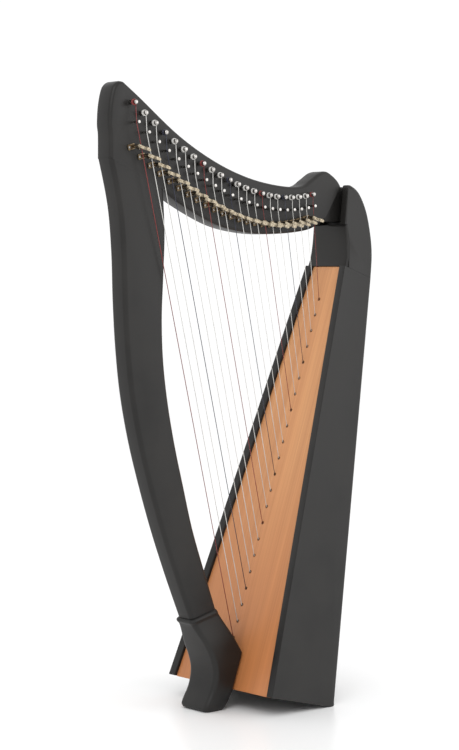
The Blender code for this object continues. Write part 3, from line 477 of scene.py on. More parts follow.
def neck_rim(a, b):
    """The edges of both faces, but not the long joint with the pillar."""
    return abs(a.y - b.y) < SAME_PLACE and math.hypot(a.x - b.x, a.z - b.z) < LONGEST_RIM_EDGE


plank = bmesh.new()
flat_prism(plank, neck_outline(), -NECK_FACE, NECK_FACE)
round_edges(plank, neck_rim, NECK_ROUND, segments=5)
print("the neck's plank has", len(plank.faces), "faces")

# %% [markdown]
# ### Holes for the tuning pins
# A turned shape is a line of vertices that is spun a full turn. Here it makes the cylinders that the holes
# are cut with, and later every hub, screw and bridge pin.

# %% The neck's pin holes
PIN_RADIUS = 0.0029
PIN_HOLE_SIDES = 20
CUT_THROUGH = 0.02


def spun(bm, line, middle, axis, sides):
    """Spins a line of vertices a full turn and merges where it closes."""
    before = set(bm.verts) - set(line)
    edges = [bm.edges.new(pair) for pair in zip(line, line[1:])]
    bmesh.ops.spin(bm, geom=[*line, *edges], cent=middle, axis=axis, angle=2 * math.pi, steps=sides,
                   use_merge=True)
    bmesh.ops.remove_doubles(bm, verts=[v for v in bm.verts if v not in before], dist=SAME_PLACE)


def turned(bm, profile, sides, centre):
    """Adds a turned shape about a line along Y, closed at both ends: profile holds (y, radius)."""
    line = [bm.verts.new((centre[0] + radius, y, centre[1]))
            for y, radius in ((profile[0][0], 0), *profile, (profile[-1][0], 0))]
    spun(bm, line, (centre[0], 0, centre[1]), (0, 1, 0), sides)


holes = bmesh.new()
for string in STRINGS:
    hole = ((-CUT_THROUGH, PIN_RADIUS + SEAM_GAP), (CUT_THROUGH, PIN_RADIUS + SEAM_GAP))
    turned(holes, hole, PIN_HOLE_SIDES, string.pin)
print("the holes' cutter has", len(holes.faces), "faces")


# %% The neck
def cut_mesh(mesh, cutters):
    """The mesh with the cutters' meshes taken away from it."""
    body = added("cut_body", mesh)
    tools = [added("cut_tool", cutter) for cutter in cutters]
    for tool in tools:
        cut = body.modifiers.new("cut", "BOOLEAN")
        cut.operation = "DIFFERENCE"
        cut.solver = "EXACT"
        cut.object = tool
    graph = bpy.context.evaluated_depsgraph_get()
    result = bpy.data.meshes.new_from_object(body.evaluated_get(graph))
    for obj in (body, *tools):
        bpy.data.objects.remove(obj, do_unlink=True)
    result.shade_smooth()
    result.set_sharp_from_angle(angle=SHARP_ANGLE)
    return result


neck_mesh = cut_mesh(settled_mesh("neck_body", plank), [settled_mesh("hole_cutter", holes)])
piece("neck_body", neck_mesh, BLACK, stands_for=("neck",))

# %% [markdown]
# ### The neck's tongue
# The neck ends in a thinner tongue between the cheeks. A plate with barely softened edges is enough for it.

# %% The neck's tongue
TONGUE = ((0.0002, 0.1125), (0.0285, 0.1125), (0.0312, 0.1066), (0.0366, 0.1014), (0.0370, 0.1010),
          (0.0370, 0.0631), (-0.0194, 0.0631))
TONGUE_HALF = 0.009
TONGUE_ROUND = 0.0006
bm = bmesh.new()
flat_prism(bm, offset(SHOULDER, TONGUE), -TONGUE_HALF, TONGUE_HALF)
round_edges(bm, lambda a, b: abs(a.y - b.y) < SAME_PLACE, TONGUE_ROUND, segments=2)
piece("neck_tongue", bm, BLACK)

# %% [markdown]
# ## The pillar
# The pillar takes the strings' pull from the neck down to the foot. It is a curved plank with well rounded
# long edges. Each edge is a straight line that bows out by measured amounts, so it is easy to compare with
# the photograph.

# %% The pillar
COLLAR_FRONT = (-0.0655, 0.1273)
COLLAR_REAR = (-0.0210, 0.1380)
PILLAR_FRONT_BOW = (0, -0.0123, -0.0225, -0.0296, -0.0339, -0.0334, -0.0273, -0.0177, -0.0062, 0.0013, 0)
PILLAR_REAR_BOW = (0, -0.0116, -0.0223, -0.0285, -0.0342, -0.0370, -0.0357, -0.0289, -0.0173, -0.0060, 0)
PILLAR_ROUND = 0.006
PILLAR_STEPS = 6
STEEP = 1.2


def bowed_line(start, end, bows, steps):
    """A smooth line from start to end that bows out along x by these amounts at even steps."""
    last = len(bows) - 1
    points = [(start[0] + (end[0] - start[0]) * i / last + bow, start[1] + (end[1] - start[1]) * i / last)
              for i, bow in enumerate(bows)]
    return smooth_line(points, steps)


def pillar_rim(a, b):
    """The long steep edges of both faces, not those of the two joints."""
    return abs(a.y - b.y) < SAME_PLACE and abs(a.x - b.x) < STEEP * abs(a.z - b.z)


seams = offset(STRINGS[0].pin, (SEAM_FRONT, SEAM_REAR))
front_line = bowed_line(COLLAR_FRONT, seams[0], PILLAR_FRONT_BOW, PILLAR_STEPS)
rear_line = bowed_line(COLLAR_REAR, seams[1], PILLAR_REAR_BOW, PILLAR_STEPS)
lowered = [(x, z - TIGHT_GAP) for x, z in seams]
bm = bmesh.new()
flat_prism(bm, [*front_line[:-1], *lowered, *reversed(rear_line[:-1])], -NECK_FACE, NECK_FACE)
round_edges(bm, pillar_rim, PILLAR_ROUND, segments=6)
piece("pillar_shaft", bm, BLACK, stands_for=("pillar",))

# %% [markdown]
# ## The foot
# The foot has a bead at its top, flares where it clasps the soundboard's lower end, and ends in a small sole.
# Its section is always a rounded rectangle, so it is a loft: one face, extruded from section to section. A
# row gives the front x, the front and rear heights, and half the width.

# %% The foot's sections
COLLAR_SECTIONS = ((-0.0655, 0.1270, 0.1377, 0.0160), (-0.0668, 0.1258, 0.1366, 0.0178),
                   (-0.0674, 0.1240, 0.1349, 0.0189), (-0.0670, 0.1220, 0.1330, 0.0188),
                   (-0.0655, 0.1203, 0.1314, 0.0182), (-0.0640, 0.1190, 0.1302, 0.0180))
FLARE_SECTIONS = ((-0.0640, 0.1190, 0.1302, 0.0180), (-0.0595, 0.1120, 0.1215, 0.0200),
                  (-0.0480, 0.0910, 0.0960, 0.0268), (-0.0375, 0.0680, 0.0700, 0.0285),
                  (-0.0343, 0.0500, 0.0500, 0.0285), (-0.0385, 0.0300, 0.0300, 0.0285),
                  (-0.0490, 0.0110, 0.0130, 0.0285), (-0.0512, 0.0050, 0.0050, 0.0278))
SOLE_SECTIONS = ((-0.0500, 0.0018, 0.0018, 0.0266), (-0.0470, 0.0000, 0.0000, 0.0250))
FLARE_STEPS = 5
FOOT_SECTIONS = (*COLLAR_SECTIONS, *smooth_line(FLARE_SECTIONS, FLARE_STEPS)[1:], *SOLE_SECTIONS)
print("the foot has", len(FOOT_SECTIONS), "sections")

# %% The foot
FOOT_HEEL_TOP = 0.0750
FOOT_HEEL_UNDERCUT = 0.016
FOOT_CORNER = 0.007
FOOT_CORNER_POINTS = 8


def loft(bm, rings):
    """Adds a closed shape through rings of places: a face on the first, extruded from ring to ring."""
    first = face = bm.faces.new([bm.verts.new(place) for place in rings[0]])
    for ring in rings[1:]:
        raised = bmesh.ops.extrude_face_region(bm, geom=[face])["geom"]
        if face.is_valid and face is not first:
            bmesh.ops.delete(bm, geom=[face], context="FACES_ONLY")
        face = next(f for f in raised if isinstance(f, bmesh.types.BMFace))
        for vert, place in zip(face.verts, ring):
            vert.co = place


def foot_rear(z):
    """Where the foot's rear is at a height: on the soundboard, straight up to the collar, cut in below."""
    heel = board_face_x(FOOT_HEEL_TOP)
    if z > FOOT_HEEL_TOP:
        return heel + (COLLAR_REAR[0] - heel) * (z - FOOT_HEEL_TOP) / (COLLAR_REAR[1] - FOOT_HEEL_TOP)
    if z > BOARD_FOOT_HEIGHT:
        return board_face_x(z)
    return -FOOT_HEEL_UNDERCUT * (1 - z / BOARD_FOOT_HEIGHT)


def foot_ring(front_x, front_z, rear_z, half):
    """A rounded rectangle of places between the foot's front and rear at one height."""
    rear_x = foot_rear(rear_z) - SEAM_GAP / math.cos(BOARD_LEAN)
    length = math.hypot(rear_x - front_x, rear_z - front_z)
    corner = min(FOOT_CORNER, half / 2)
    ring = []
    for turn, (middle, across) in enumerate(((length - corner, half - corner), (corner, half - corner),
                                             (corner, corner - half), (length - corner, corner - half))):
        for i in range(FOOT_CORNER_POINTS):
            angle = math.pi / 2 * (turn + i / (FOOT_CORNER_POINTS - 1))
            share = (middle + corner * math.cos(angle)) / length
            ring.append((front_x + (rear_x - front_x) * share, across + corner * math.sin(angle),
                         front_z + (rear_z - front_z) * share))
    return ring


bm = bmesh.new()
loft(bm, [foot_ring(*section) for section in FOOT_SECTIONS])
piece("flared_foot", bm, BLACK, stands_for=("pillar_foot",))

# %% [markdown]
# ## The soundbox's sides
# The side panels stand a little proud of the soundboard and are rounded along the rear. A bevel of one radius
# would leave a horn at the heel, so a side panel is a loft: its outline at several depths, drawn inwards
# along the rear, and less and less round the heel.

# %% The soundbox's measures
BOX_HALF_BOTTOM = 0.1082
BOX_HALF_TOP = 0.0400
BOX_DEPTH_BOTTOM = 0.1170
BOX_DEPTH_TOP = 0.0535
SIDE_THICK = 0.012
SIDE_PROUD = 0.0043
REAR_ROUND = 0.007
REAR_ROUND_STEPS = 6
HEEL_FLAT = 0.010
HEEL_ROUND = 0.007
HEEL_STEPS = 12
NEARLY_FLAT = math.radians(0.05)
BOX_HEEL = BOX_DEPTH_BOTTOM / math.cos(BOARD_LEAN) - BOARD_FOOT_HEIGHT * math.tan(BOARD_LEAN)


def half_width(x, z):
    """Half the soundbox's width at a point of its side view."""
    up = x * math.sin(BOARD_LEAN) + (z - BOARD_FOOT_HEIGHT) * math.cos(BOARD_LEAN)
    return BOX_HALF_BOTTOM + (BOX_HALF_TOP - BOX_HALF_BOTTOM) * up / BOARD_LENGTH


def box_depth(along):
    return BOX_DEPTH_BOTTOM + (BOX_DEPTH_TOP - BOX_DEPTH_BOTTOM) * along / BOARD_LENGTH


print(f"the heel is {BOX_HEEL:.3f} m behind the soundboard's foot")


# %% The side panels
def heel_arc():
    """The rounded lower rear corner, from the back panel down to the floor, and its inward directions."""
    top_x, top_z = along_board(BOARD_LENGTH, BOX_DEPTH_TOP)
    lean = math.atan2(top_x - BOX_HEEL, top_z)
    middle = BOX_HEEL - HEEL_ROUND * math.tan((math.pi / 2 - lean) / 2)
    angles = [-lean - (math.pi / 2 - lean) * i / HEEL_STEPS for i in range(HEEL_STEPS + 1)]
    return ([(middle + HEEL_ROUND * math.cos(a), HEEL_ROUND + HEEL_ROUND * math.sin(a)) for a in angles],
            [(-math.cos(a), -math.sin(a)) for a in angles])


def side_panel(bm, side):
    """A side panel, lofted from its inner face to its outer one."""
    seam = BOARD_LENGTH - TIGHT_GAP
    heel, heel_inwards = heel_arc()
    outline = [along_board(0, -SIDE_PROUD), along_board(seam, -SIDE_PROUD),
               along_board(seam, box_depth(seam)), *heel, (BOX_HEEL - HEEL_FLAT, 0)]
    fading = [(1 + math.cos(math.pi * i / HEEL_STEPS)) / 2 for i in range(HEEL_STEPS + 1)]
    shares = [0, 0, 1, *fading, 0]
    inwards = [(0, 0), (0, 0), (-math.cos(BOARD_LEAN), math.sin(BOARD_LEAN)), *heel_inwards, (0, 0)]
    turns = [math.pi / 2 * i / REAR_ROUND_STEPS for i in range(REAR_ROUND_STEPS + 1)]
    steps = [(SIDE_THICK, 0),
             *((REAR_ROUND * (1 - math.sin(t)), REAR_ROUND * (1 - math.cos(t))) for t in turns)]
    rings = []
    for depth, inset in steps:
        moved = [(x + inset * share * along, z + inset * share * up)
                 for (x, z), (along, up), share in zip(outline, inwards, shares)]
        rings.append([(x, side * (half_width(x, z) - depth), z) for x, z in moved])
    loft(bm, rings)
    bmesh.ops.dissolve_limit(bm, angle_limit=NEARLY_FLAT, verts=bm.verts, edges=bm.edges)


def side_front_edge(a, b):
    """The two long edges that stand proud of the soundboard."""
    in_front = max(a.x - board_face_x(a.z), b.x - board_face_x(b.z)) < 0
    return in_front and (a - b).length > BOARD_LENGTH / 2


SIDE_FRONT_ROUND = 0.0012
HANDS = ((-1, "left"), (1, "right"))
for side, hand in HANDS:
    bm = bmesh.new()
    side_panel(bm, side)
    round_edges(bm, side_front_edge, SIDE_FRONT_ROUND, segments=3)
    piece(f"{hand}_side", bm, BLACK, stands_for=(f"{hand}_side_panel",))

# %% [markdown]
# ## The cheeks
# The cheeks carry the side panels' line up round the neck's tongue. Each is a plate that follows the box's
# taper, rounded along the rear like the panel below it. Its front edge is softened to catch the light, and
# the edge along the front block is taken off, which leaves the small groove that the photograph shows there.

# %% The cheeks' outline
BLOCK_FRONT = ((-0.0011, 0.0016), (0.0019, 0.0125), (0.0037, 0.0340), (0.0036, 0.0590))
BLOCK_PLATE = 0.0034
CHEEK_FRONT = ((0.0018, 0.0565), (0.0142, 0.1110))
CHEEK_REAR = ((0.0168, 0.1146), (0.0255, 0.1140), (0.0395, 0.1035), (0.0515, 0.0780), (0.0568, 0.0440),
              (0.0565, 0.0150))
CHEEK_STEPS = 8


def block_face(inset):
    """The front block's face, moved this far back."""
    return [(x + inset, z) for x, z in offset(SHOULDER, BLOCK_FRONT)]


def cheek_outline():
    inner = block_face(BLOCK_PLATE + SEAM_GAP)
    shelf = inner[-1][1] + SEAM_GAP
    seam = BOARD_LENGTH + TIGHT_GAP
    low, high = offset(SHOULDER, CHEEK_FRONT)
    front = (low[0] + (high[0] - low[0]) * (shelf - low[1]) / (high[1] - low[1]), shelf)
    rear = [high, *offset(SHOULDER, CHEEK_REAR), along_board(seam, box_depth(seam))]
    curve = smooth_line(rear, CHEEK_STEPS)
    return [along_board(seam, BLOCK_PLATE + SEAM_GAP), *inner[1:-1], (inner[-1][0], shelf), front, *curve]


print("a cheek's outline has", len(cheek_outline()), "points")

# %% The cheeks
CHEEK_FRONT_ROUND = 0.0028
CHEEK_JOINT_ROUND = 0.0011
ON_FACE = 1e-5
SHORTEST_FRONT = 0.02
SHORTEST_JOINT = 0.005


def side_plate(bm, outline, side, outer_inset, inner_inset):
    """A plate that follows the soundbox's tapered side."""
    extruded(bm, outline, lambda x, z: (x, side * (half_width(x, z) - outer_inset), z),
             lambda x, z: (x, side * (half_width(x, z) - inner_inset), z))


def on_outer_face(v):
    return abs(abs(v.y) - half_width(v.x, v.z)) < ON_FACE


def outer_rear(a, b):
    """Edges along the rear of a cheek's outer face."""
    behind = all(v.x > min(board_face_x(v.z) + BOX_DEPTH_TOP / 2, SHOULDER[0] + CHEEK_FRONT[1][0] + SEAM_GAP)
                 for v in (a, b))
    return on_outer_face(a) and on_outer_face(b) and behind


def cheek_front_edge(a, b):
    """The two long edges of a cheek's straight front above the block."""
    low, high = (Vector(p) for p in offset(SHOULDER, CHEEK_FRONT))
    along = (high - low).normalized()

    def off(v):
        return abs((v.x - low.x) * along.y - (v.z - low.y) * along.x)
    return off(a) < ON_FACE and off(b) < ON_FACE and abs(a.z - b.z) > SHORTEST_FRONT


def cheek_joint_edge(a, b):
    """The outer edge of a cheek along the front block."""
    bends = block_face(BLOCK_PLATE + SEAM_GAP)[1:-1]
    foot = along_board(BOARD_LENGTH + TIGHT_GAP, BLOCK_PLATE + SEAM_GAP)
    line = [*bends, foot, (bends[-1][0], a.z), (bends[-1][0], b.z)]

    def near(v):
        return any(math.hypot(v.x - x, v.z - z) < SEAM_GAP for x, z in line)
    return on_outer_face(a) and on_outer_face(b) and near(a) and near(b) and abs(a.z - b.z) > SHORTEST_JOINT


for side, hand in HANDS:
    bm = bmesh.new()
    side_plate(bm, cheek_outline(), side, 0, SIDE_THICK)
    round_edges(bm, outer_rear, REAR_ROUND, REAR_ROUND_STEPS)
    round_edges(bm, cheek_front_edge, CHEEK_FRONT_ROUND, segments=5)
    round_edges(bm, cheek_joint_edge, CHEEK_JOINT_ROUND, segments=3)
    piece(f"{hand}_cheek_plank", bm, BLACK, stands_for=(f"{hand}_cheek",))

# %% [markdown]
# ## The shoulder block
# The block closes the soundbox above the soundboard. It is a plate across the whole width with a rounded
# front, and its two wings are cut back so that only a thin lip laps over the cheeks.

# %% The shoulder block
BLOCK_DEPTH = 0.030
BLOCK_ROUND = 0.003
BLOCK_STEPS = 4
block_front = offset(SHOULDER, BLOCK_FRONT)
block_seam = BOARD_LENGTH + SEAM_GAP


def block_rim(a, b):
    """The block's two front upright edges and the front edge of its top."""
    in_front = all(v.x < block_front[-1][0] + SEAM_GAP for v in (a, b))
    upright = on_outer_face(a) and on_outer_face(b) and in_front and a.y * b.y > 0
    top_edge = all((Vector((v.x, v.z)) - Vector(block_front[-1])).length < SEAM_GAP for v in (a, b))
    return upright or top_edge


low_x, low_z = block_front[0]
foot_depth = low_x * math.cos(BOARD_LEAN) - (low_z - BOARD_FOOT_HEIGHT) * math.sin(BOARD_LEAN)
face_line = smooth_line([along_board(block_seam, foot_depth), *block_front[1:]], BLOCK_STEPS)
block_outline = [*face_line, (block_front[-1][0] + BLOCK_DEPTH, block_front[-1][1]),
                 along_board(block_seam, BLOCK_DEPTH)]
block_bm = bmesh.new()
extruded(block_bm, block_outline, lambda x, z: (x, -half_width(x, z), z),
         lambda x, z: (x, half_width(x, z), z))
round_edges(block_bm, block_rim, BLOCK_ROUND, segments=5)
print("the shoulder block has", len(block_bm.faces), "faces")

# %% The shoulder block's wings
rebate = block_face(BLOCK_PLATE)
(low_x, low_z), (high_x, high_z) = rebate[0], rebate[-1]
wing_outline = [(low_x - CUT_THROUGH * math.tan(BOARD_LEAN), low_z - CUT_THROUGH), *rebate[1:-1],
                (high_x, high_z + CUT_THROUGH), (high_x + 2 * BLOCK_DEPTH, high_z + CUT_THROUGH),
                (high_x + 2 * BLOCK_DEPTH, low_z - 2 * CUT_THROUGH)]
wing_cutters = []
for side, hand in HANDS:
    cutter = bmesh.new()
    side_plate(cutter, wing_outline, side, -CUT_THROUGH, SIDE_THICK + SEAM_GAP)
    wing_cutters.append(settled_mesh("wing_cutter", cutter))
block_mesh = cut_mesh(settled_mesh("shoulder_front", block_bm), wing_cutters)
piece("shoulder_front", block_mesh, BLACK, stands_for=("shoulder_block",))

# %% [markdown]
# ## Tuning pins
# A tuning pin is a steel rod with a chamfered end on the string side and a square for the key on the other.
# It changes from round to square, so it is a loft whose rings get squarer.

# %% Tuning pins
PIN_SIDES = 24
PIN_END = -(NECK_FACE + 0.013)
PIN_KEY = NECK_FACE + 0.017
PIN_SQUARE_HALF = 0.0021
PIN_STATIONS = ((PIN_END, 0.0016, 0), (PIN_END + 0.0002, 0.0023, 0), (PIN_END + 0.0009, PIN_RADIUS, 0),
                (NECK_FACE + 0.0006, PIN_RADIUS, 0), (NECK_FACE + 0.0010, 0.0026, 0.5),
                (NECK_FACE + 0.0018, PIN_SQUARE_HALF, 1), (PIN_KEY - 0.0005, PIN_SQUARE_HALF, 1),
                (PIN_KEY, 0.0018, 1))


def tuning_pin(bm, centre):
    rings = []
    for y, size, squareness in PIN_STATIONS:
        ring = []
        for i in range(PIN_SIDES):
            angle = 2 * math.pi * i / PIN_SIDES
            square = size / max(abs(math.cos(angle)), abs(math.sin(angle)))
            radius = size + (square - size) * squareness
            ring.append((centre[0] + radius * math.cos(angle), y, centre[1] + radius * math.sin(angle)))
        rings.append(ring)
    loft(bm, rings)


for string in STRINGS:
    name = f"pin_{string.number:02d}"
    node = f"tuning_pin_{string.number:02d}"
    bm = bmesh.new()
    tuning_pin(bm, string.pin)
    piece(name, bm, NICKEL, body=node, stands_for=(node,))

# %% [markdown]
# ## Bridge pins
# The bridge pins end the strings' speaking length. They never move, so they are one piece: thin rods with a
# small flat head, turned from a line of radii.

# %% Bridge pins
BRIDGE_ROOT = -0.0132
BRIDGE_END = -(STRING_PLANE + 0.0028)
BRIDGE_PROFILE = ((BRIDGE_ROOT, BRIDGE_RADIUS), (BRIDGE_END + 0.0016, BRIDGE_RADIUS),
                  (BRIDGE_END + 0.0014, 0.0022), (BRIDGE_END + 0.0005, 0.0023), (BRIDGE_END + 0.0001, 0.0020),
                  (BRIDGE_END, 0.0014))
bm = bmesh.new()
for string in STRINGS:
    turned(bm, BRIDGE_PROFILE, sides=16, centre=string.bridge)
piece("bridge_pins", bm, NICKEL)

# %% [markdown]
# ## Sharping levers
# A lever raises its string by a semitone: its handle reaches over the string, and a cam below it turns
# against the string when the handle is lifted. The handle is a loft along its length, the hub is turned and
# the cam is a small plate, all made at the origin and then turned to the rest angle.

# %% The lever's handle
BLADE_FOOT = STRING_PLANE + 0.0014
BLADE_THICK = 0.0018
BLADE_HALF = 0.0022
BLADE_END_HALF = 0.0006
BLADE_RISE = 0.0031
BLADE_RISE_START = 0.0080
BLADE_RISE_LENGTH = 0.0018
BLADE_SOFT = 0.0003
BLADE_ROWS = (-0.0026, -0.0022, -0.0012, 0.0, 0.002, 0.005, 0.0076, 0.0080, 0.0084, 0.0089, 0.0094, 0.0098,
              0.0102, 0.0130, 0.0150, 0.0160, 0.0165, 0.0168)


def blade_height(across):
    """How far the blade has stepped up over the next lever, this far out from its pivot."""
    share = min(max((across - BLADE_RISE_START) / BLADE_RISE_LENGTH, 0), 1)
    return BLADE_FOOT + BLADE_RISE * share * share * (3 - 2 * share)


def blade_half(across):
    """Half the blade's width, which rounds off towards both ends."""
    near_end = min(across - BLADE_ROWS[0], BLADE_ROWS[-1] - across)
    if near_end > BLADE_HALF:
        return BLADE_HALF
    return math.sqrt(max(BLADE_HALF**2 - (BLADE_HALF - near_end)**2, BLADE_END_HALF**2))


def blade_ring(across):
    low, half = blade_height(across), blade_half(across)
    top = low + BLADE_THICK
    flat = half - BLADE_SOFT
    section = ((low, flat), (low + BLADE_SOFT, half), (top - BLADE_SOFT, half), (top, flat),
               (top, -flat), (top - BLADE_SOFT, -half), (low + BLADE_SOFT, -half), (low, -flat))
    return [(across, -y, z) for y, z in section]


print(f"the handle is {BLADE_ROWS[-1] - BLADE_ROWS[0]:.4f} m long")

# %% The levers
LEVER_REST = math.radians(-18)
LEVER_TRAVEL = math.radians(80)
HUB_PROFILE = ((-0.0167, 0.0024), (-0.0170, 0.0026), (-(BLADE_FOOT + 0.0002), 0.0026))
RIVET_FOOT = BLADE_FOOT + BLADE_THICK
RIVET_PROFILE = ((-(RIVET_FOOT - 0.0002), 0.0017), (-(RIVET_FOOT + 0.0001), 0.0016),
                 (-(RIVET_FOOT + 0.0003), 0.0011))
CAM_HALF = 0.0009
CAM_ROUND = 0.0007
CAM_DEPTHS = (-0.0278, -0.0226)


def rounded_rectangle(low, high, half, radius, steps=4):
    """Corner-rounded outline as (across, up) points."""
    corners = ((high - radius, half - radius, 0), (low + radius, half - radius, 1),
               (low + radius, radius - half, 2), (high - radius, radius - half, 3))
    return [(x + radius * math.cos(math.pi / 2 * (turn + i / steps)),
             y + radius * math.sin(math.pi / 2 * (turn + i / steps)))
            for x, y, turn in corners for i in range(steps + 1)]


def lever(bm, pivot):
    """Handle, hub and cam about the pivot, at rest."""
    loft(bm, [blade_ring(across) for across in BLADE_ROWS])
    turned(bm, HUB_PROFILE, sides=20, centre=(0, 0))
    turned(bm, RIVET_PROFILE, sides=16, centre=(0, 0))
    engaged = STRING_LEAN - (LEVER_REST + LEVER_TRAVEL)
    outline = [(x * math.cos(engaged) - y * math.sin(engaged), x * math.sin(engaged) + y * math.cos(engaged))
               for x, y in rounded_rectangle(0.0, CAM_REACH, CAM_HALF, CAM_ROUND)]
    flat_prism(bm, outline, *CAM_DEPTHS)
    bmesh.ops.rotate(bm, cent=(0, 0, 0), matrix=Matrix.Rotation(-LEVER_REST, 3, "Y"), verts=bm.verts)
    bmesh.ops.translate(bm, vec=(pivot[0], 0, pivot[1]), verts=bm.verts)


for string in STRINGS:
    name = f"lever_{string.number:02d}"
    node = f"sharping_lever_{string.number:02d}"
    bm = bmesh.new()
    lever(bm, string.pivot)
    piece(name, bm, GOLD, body=node, stands_for=(node,))

# %% [markdown]
# ### The levers' plates
# The plate that carries a lever is screwed to the neck. It lies square to its string, so its outline is
# turned with the string before it is pulled into a plate. The screw's head is a low turned dome.

# %% The levers' plates
PLATE_OUTLINE = rounded_rectangle(-0.0088, 0.0030, 0.0036, 0.0012)
PLATE_DEPTHS = (-0.0146, -0.0164)
SCREW_ACROSS = -0.0062
SCREW_PROFILE = ((-0.0160, 0.0017), (-0.0168, 0.0017), (-0.0173, 0.0013), (-0.0175, 0.0006))
plates = bmesh.new()
screws = bmesh.new()
for string in STRINGS:
    flat_prism(plates, [in_string_frame(string.pivot, x, y) for x, y in PLATE_OUTLINE], *PLATE_DEPTHS)
    turned(screws, SCREW_PROFILE, sides=14, centre=in_string_frame(string.pivot, SCREW_ACROSS, 0))
piece("lever_plates", plates, AGED_BRASS)
piece("lever_screws", screws, NICKEL)

# %% [markdown]
# ## Strings
# Every string comes out of its hole, bends round the left of its bridge pin and is wound on its tuning pin. A
# curve with a round bevel follows that route and stays editable. The notes C are red and the notes F dark, so
# that a player can find their way.

# %% A string's route
TURNS = 3
TURN_POINTS = 20
WINDING_START = 0.0058
WINDING_CLEAR = 0.0001
WINDING_SPARE = 0.00012
ROOT_BEHIND = 0.003
BRIDGE_EASE = 0.0016


def string_route(string):
    """Places from inside the soundbox, past the bridge pin, round the tuning pin and back against it."""
    radius = PIN_RADIUS + string.radius + WINDING_CLEAR
    root = along_board(string.along, BOARD_THICK + ROOT_BEHIND)
    mouth = along_board(string.along, -string.radius)
    bend_x, bend_z = string.bridge[0] - string.bend, string.bridge[1]
    points = [(root[0], 0, root[1]), (mouth[0], 0, mouth[1]),
              (bend_x + 0.0003, -STRING_PLANE * 0.998, bend_z - BRIDGE_EASE),
              (bend_x, -STRING_PLANE, bend_z),
              (bend_x + 0.0004, -STRING_PLANE + 0.0006, bend_z + BRIDGE_EASE)]
    pitch = 2 * string.radius + WINDING_SPARE
    for i in range(TURNS * TURN_POINTS + 1):
        turn = i / TURN_POINTS
        angle = 2 * math.pi * turn
        points.append((string.pin[0] + radius * math.cos(angle), -(NECK_FACE + WINDING_START + pitch * turn),
                       string.pin[1] + radius * math.sin(angle)))
    points.append((string.pin[0] + 0.001, points[-1][1] - 0.0003, string.pin[1]))
    return points


print("a string's route has", len(string_route(STRINGS[0])), "points")

# %% The strings
RED_STRINGS = (1, 8, 15, 22)
DARK_STRINGS = (4, 11, 18)


def string_finish(number):
    if number in RED_STRINGS:
        return RED_NYLON
    return DARK_NYLON if number in DARK_STRINGS else CLEAR_NYLON


for string in STRINGS:
    name = f"string_{string.number:02d}"
    curve = bpy.data.curves.new(name, "CURVE")
    curve.dimensions = "3D"
    curve.bevel_depth = string.radius
    curve.bevel_resolution = 3
    curve.use_fill_caps = True
    route = string_route(string)
    spline = curve.splines.new("POLY")
    spline.points.add(len(route) - 1)
    spline.use_smooth = True
    for point, place in zip(spline.points, route):
        point.co = (place[0] + SHIFT, place[1], place[2], 1)
    piece(name, curve, string_finish(string.number))
print(len(STRINGS), "strings")

# %% [markdown]
# ### String holes and rib
# A small ring protects each string hole. Its dark colour is painted shade that stands for the shaded hole and
# the small shadow round it. It is a closed line, spun about the hole's axis, which is square to the leaning
# board. Behind the board, the strings are tied to a long rib of bare wood.

# %% The rings round the string holes
EYELET_LINE = ((0.0005, 0.00145), (-0.0003, 0.0015), (-0.0004, 0.0019), (-0.0002, 0.0023), (0.0005, 0.00235),
               (0.0005, 0.00145))
BOARD_INWARDS = (math.cos(BOARD_LEAN), 0, -math.sin(BOARD_LEAN))


def eyelet(bm, along):
    """A small ring let into the soundboard round a string hole, whose dark finish is painted shade for the
    hole.
    """
    line = []
    for depth, radius in EYELET_LINE:
        x, z = along_board(along + radius, depth)
        line.append(bm.verts.new((x, 0, z)))
    middle = along_board(along)
    spun(bm, line, (middle[0], 0, middle[1]), BOARD_INWARDS, sides=18)


bm = bmesh.new()
for string in STRINGS:
    eyelet(bm, string.along)
piece("string_eyelets", bm, BRONZE_AND_HOLE_SHADE)

# %% The string rib
RIB_OVERHANG = 0.008
RIB_THICK = 0.008
RIB_HALF = 0.007
RIB_ROUND = 0.001
low, high = STRINGS[0].along - RIB_OVERHANG, STRINGS[-1].along + RIB_OVERHANG
front = BOARD_THICK + SEAM_GAP
rib_outline = [along_board(low, front), along_board(high, front), along_board(high, front + RIB_THICK),
               along_board(low, front + RIB_THICK)]
bm = bmesh.new()
flat_prism(bm, rib_outline, -RIB_HALF, RIB_HALF)
round_edges(bm, lambda a, b: (a - b).length > (high - low) / 2, RIB_ROUND, segments=2)
piece("string_rib", bm, BARE_WOOD, stands_for=("strings",))

# %% [markdown]
# ## The floor
# The harp stands on a wide pale floor, a little glossy for the faint reflection under the foot.

# %% The floor
FLOOR_HALF = 14
FLOOR_DROP = 0.0002
floor_mesh = bpy.data.meshes.new("floor")
bm = bmesh.new()
bmesh.ops.create_grid(bm, x_segments=1, y_segments=1, size=FLOOR_HALF)
bmesh.ops.translate(bm, verts=bm.verts, vec=(0, 0, -FLOOR_DROP))
bm.to_mesh(floor_mesh)
bm.free()
floor = added("floor", floor_mesh)
pale = bpy.data.materials.new("pale_floor")
pale.use_nodes = True
pale_shader = pale.node_tree.nodes["Principled BSDF"]
pale_shader.inputs["Base Color"].default_value = (0.97, 0.97, 0.97, 1)
pale_shader.inputs["Roughness"].default_value = 0.32
pale_shader.inputs["Specular IOR Level"].default_value = 0.25
floor_mesh.materials.append(pale)
print(f"the floor reaches {max(v.co.x for v in floor_mesh.vertices):.1f} m to each side")

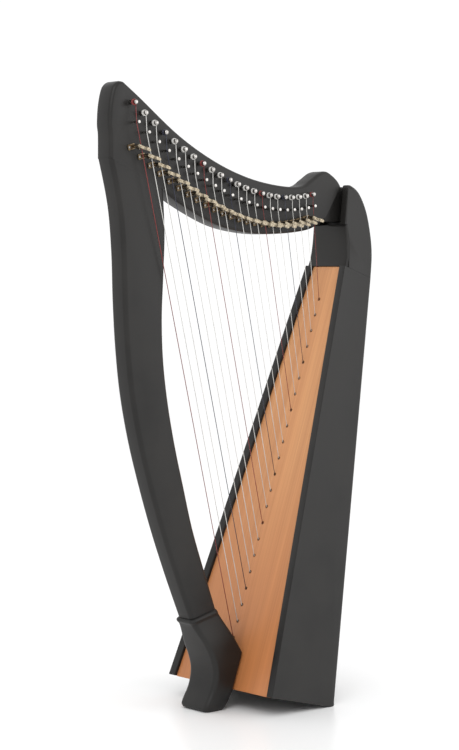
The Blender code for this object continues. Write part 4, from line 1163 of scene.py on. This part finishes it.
# %% [markdown]
# ## Light
# A white surround lights the harp evenly and gives the gloss something pale to show. Two large soft lamps add
# a little shape: a key from the front left and a weaker fill from the front right.

# %% Light
world = bpy.data.worlds.new("studio")
bpy.context.scene.world = world
world.use_nodes = True
world.node_tree.nodes["Background"].inputs["Color"].default_value = (1, 1, 1, 1)
world.node_tree.nodes["Background"].inputs["Strength"].default_value = 1.05


def soft_light(name, place, aim, size, watts):
    lamp = bpy.data.lights.new(name, "AREA")
    lamp.shape = "SQUARE"
    lamp.size = size
    lamp.energy = watts
    obj = added(name, lamp)
    obj.location = place
    obj.rotation_euler = (Vector(aim) - Vector(place)).to_track_quat("-Z", "Y").to_euler()


soft_light("key", place=(-1.6, -1.5, 2.2), aim=(0, 0, 0.4), size=1.4, watts=18)
soft_light("fill", place=(1.8, -2.2, 1.2), aim=(0.05, 0, 0.4), size=1.6, watts=14)
print(len(bpy.data.lights), "lamps")

# %% [markdown]
# ## The camera
# The camera stands where the photograph was taken from, to the harp's front left and a little above its
# middle. Its three axes are worked out from two angles.

# %% The camera
CAMERA_TURN = math.radians(-41.0)
CAMERA_RISE = math.radians(3.15)
CAMERA_DISTANCE = 2.8034
CAMERA_AIM_X = 0.015
CAMERA_AIM_HEIGHT = 0.4525
LENS_LENGTH = 98.69
right = Vector((math.cos(CAMERA_TURN), math.sin(CAMERA_TURN), 0))
back = Vector((math.sin(CAMERA_TURN) * math.cos(CAMERA_RISE), -math.cos(CAMERA_TURN) * math.cos(CAMERA_RISE),
               math.sin(CAMERA_RISE)))
lens = bpy.data.cameras.new("camera")
lens.sensor_width = 36
lens.lens = LENS_LENGTH
lens.clip_start = 0.05
camera = added("camera", lens)
placed = Matrix((right, back.cross(right), back)).transposed().to_4x4()
placed.translation = Vector((CAMERA_AIM_X + SHIFT, 0, CAMERA_AIM_HEIGHT)) + back * CAMERA_DISTANCE
camera.matrix_world = placed
bpy.context.scene.camera = camera
bpy.context.scene.view_settings.view_transform = "Standard"
print(f"the camera is {CAMERA_DISTANCE} m from the harp's middle")
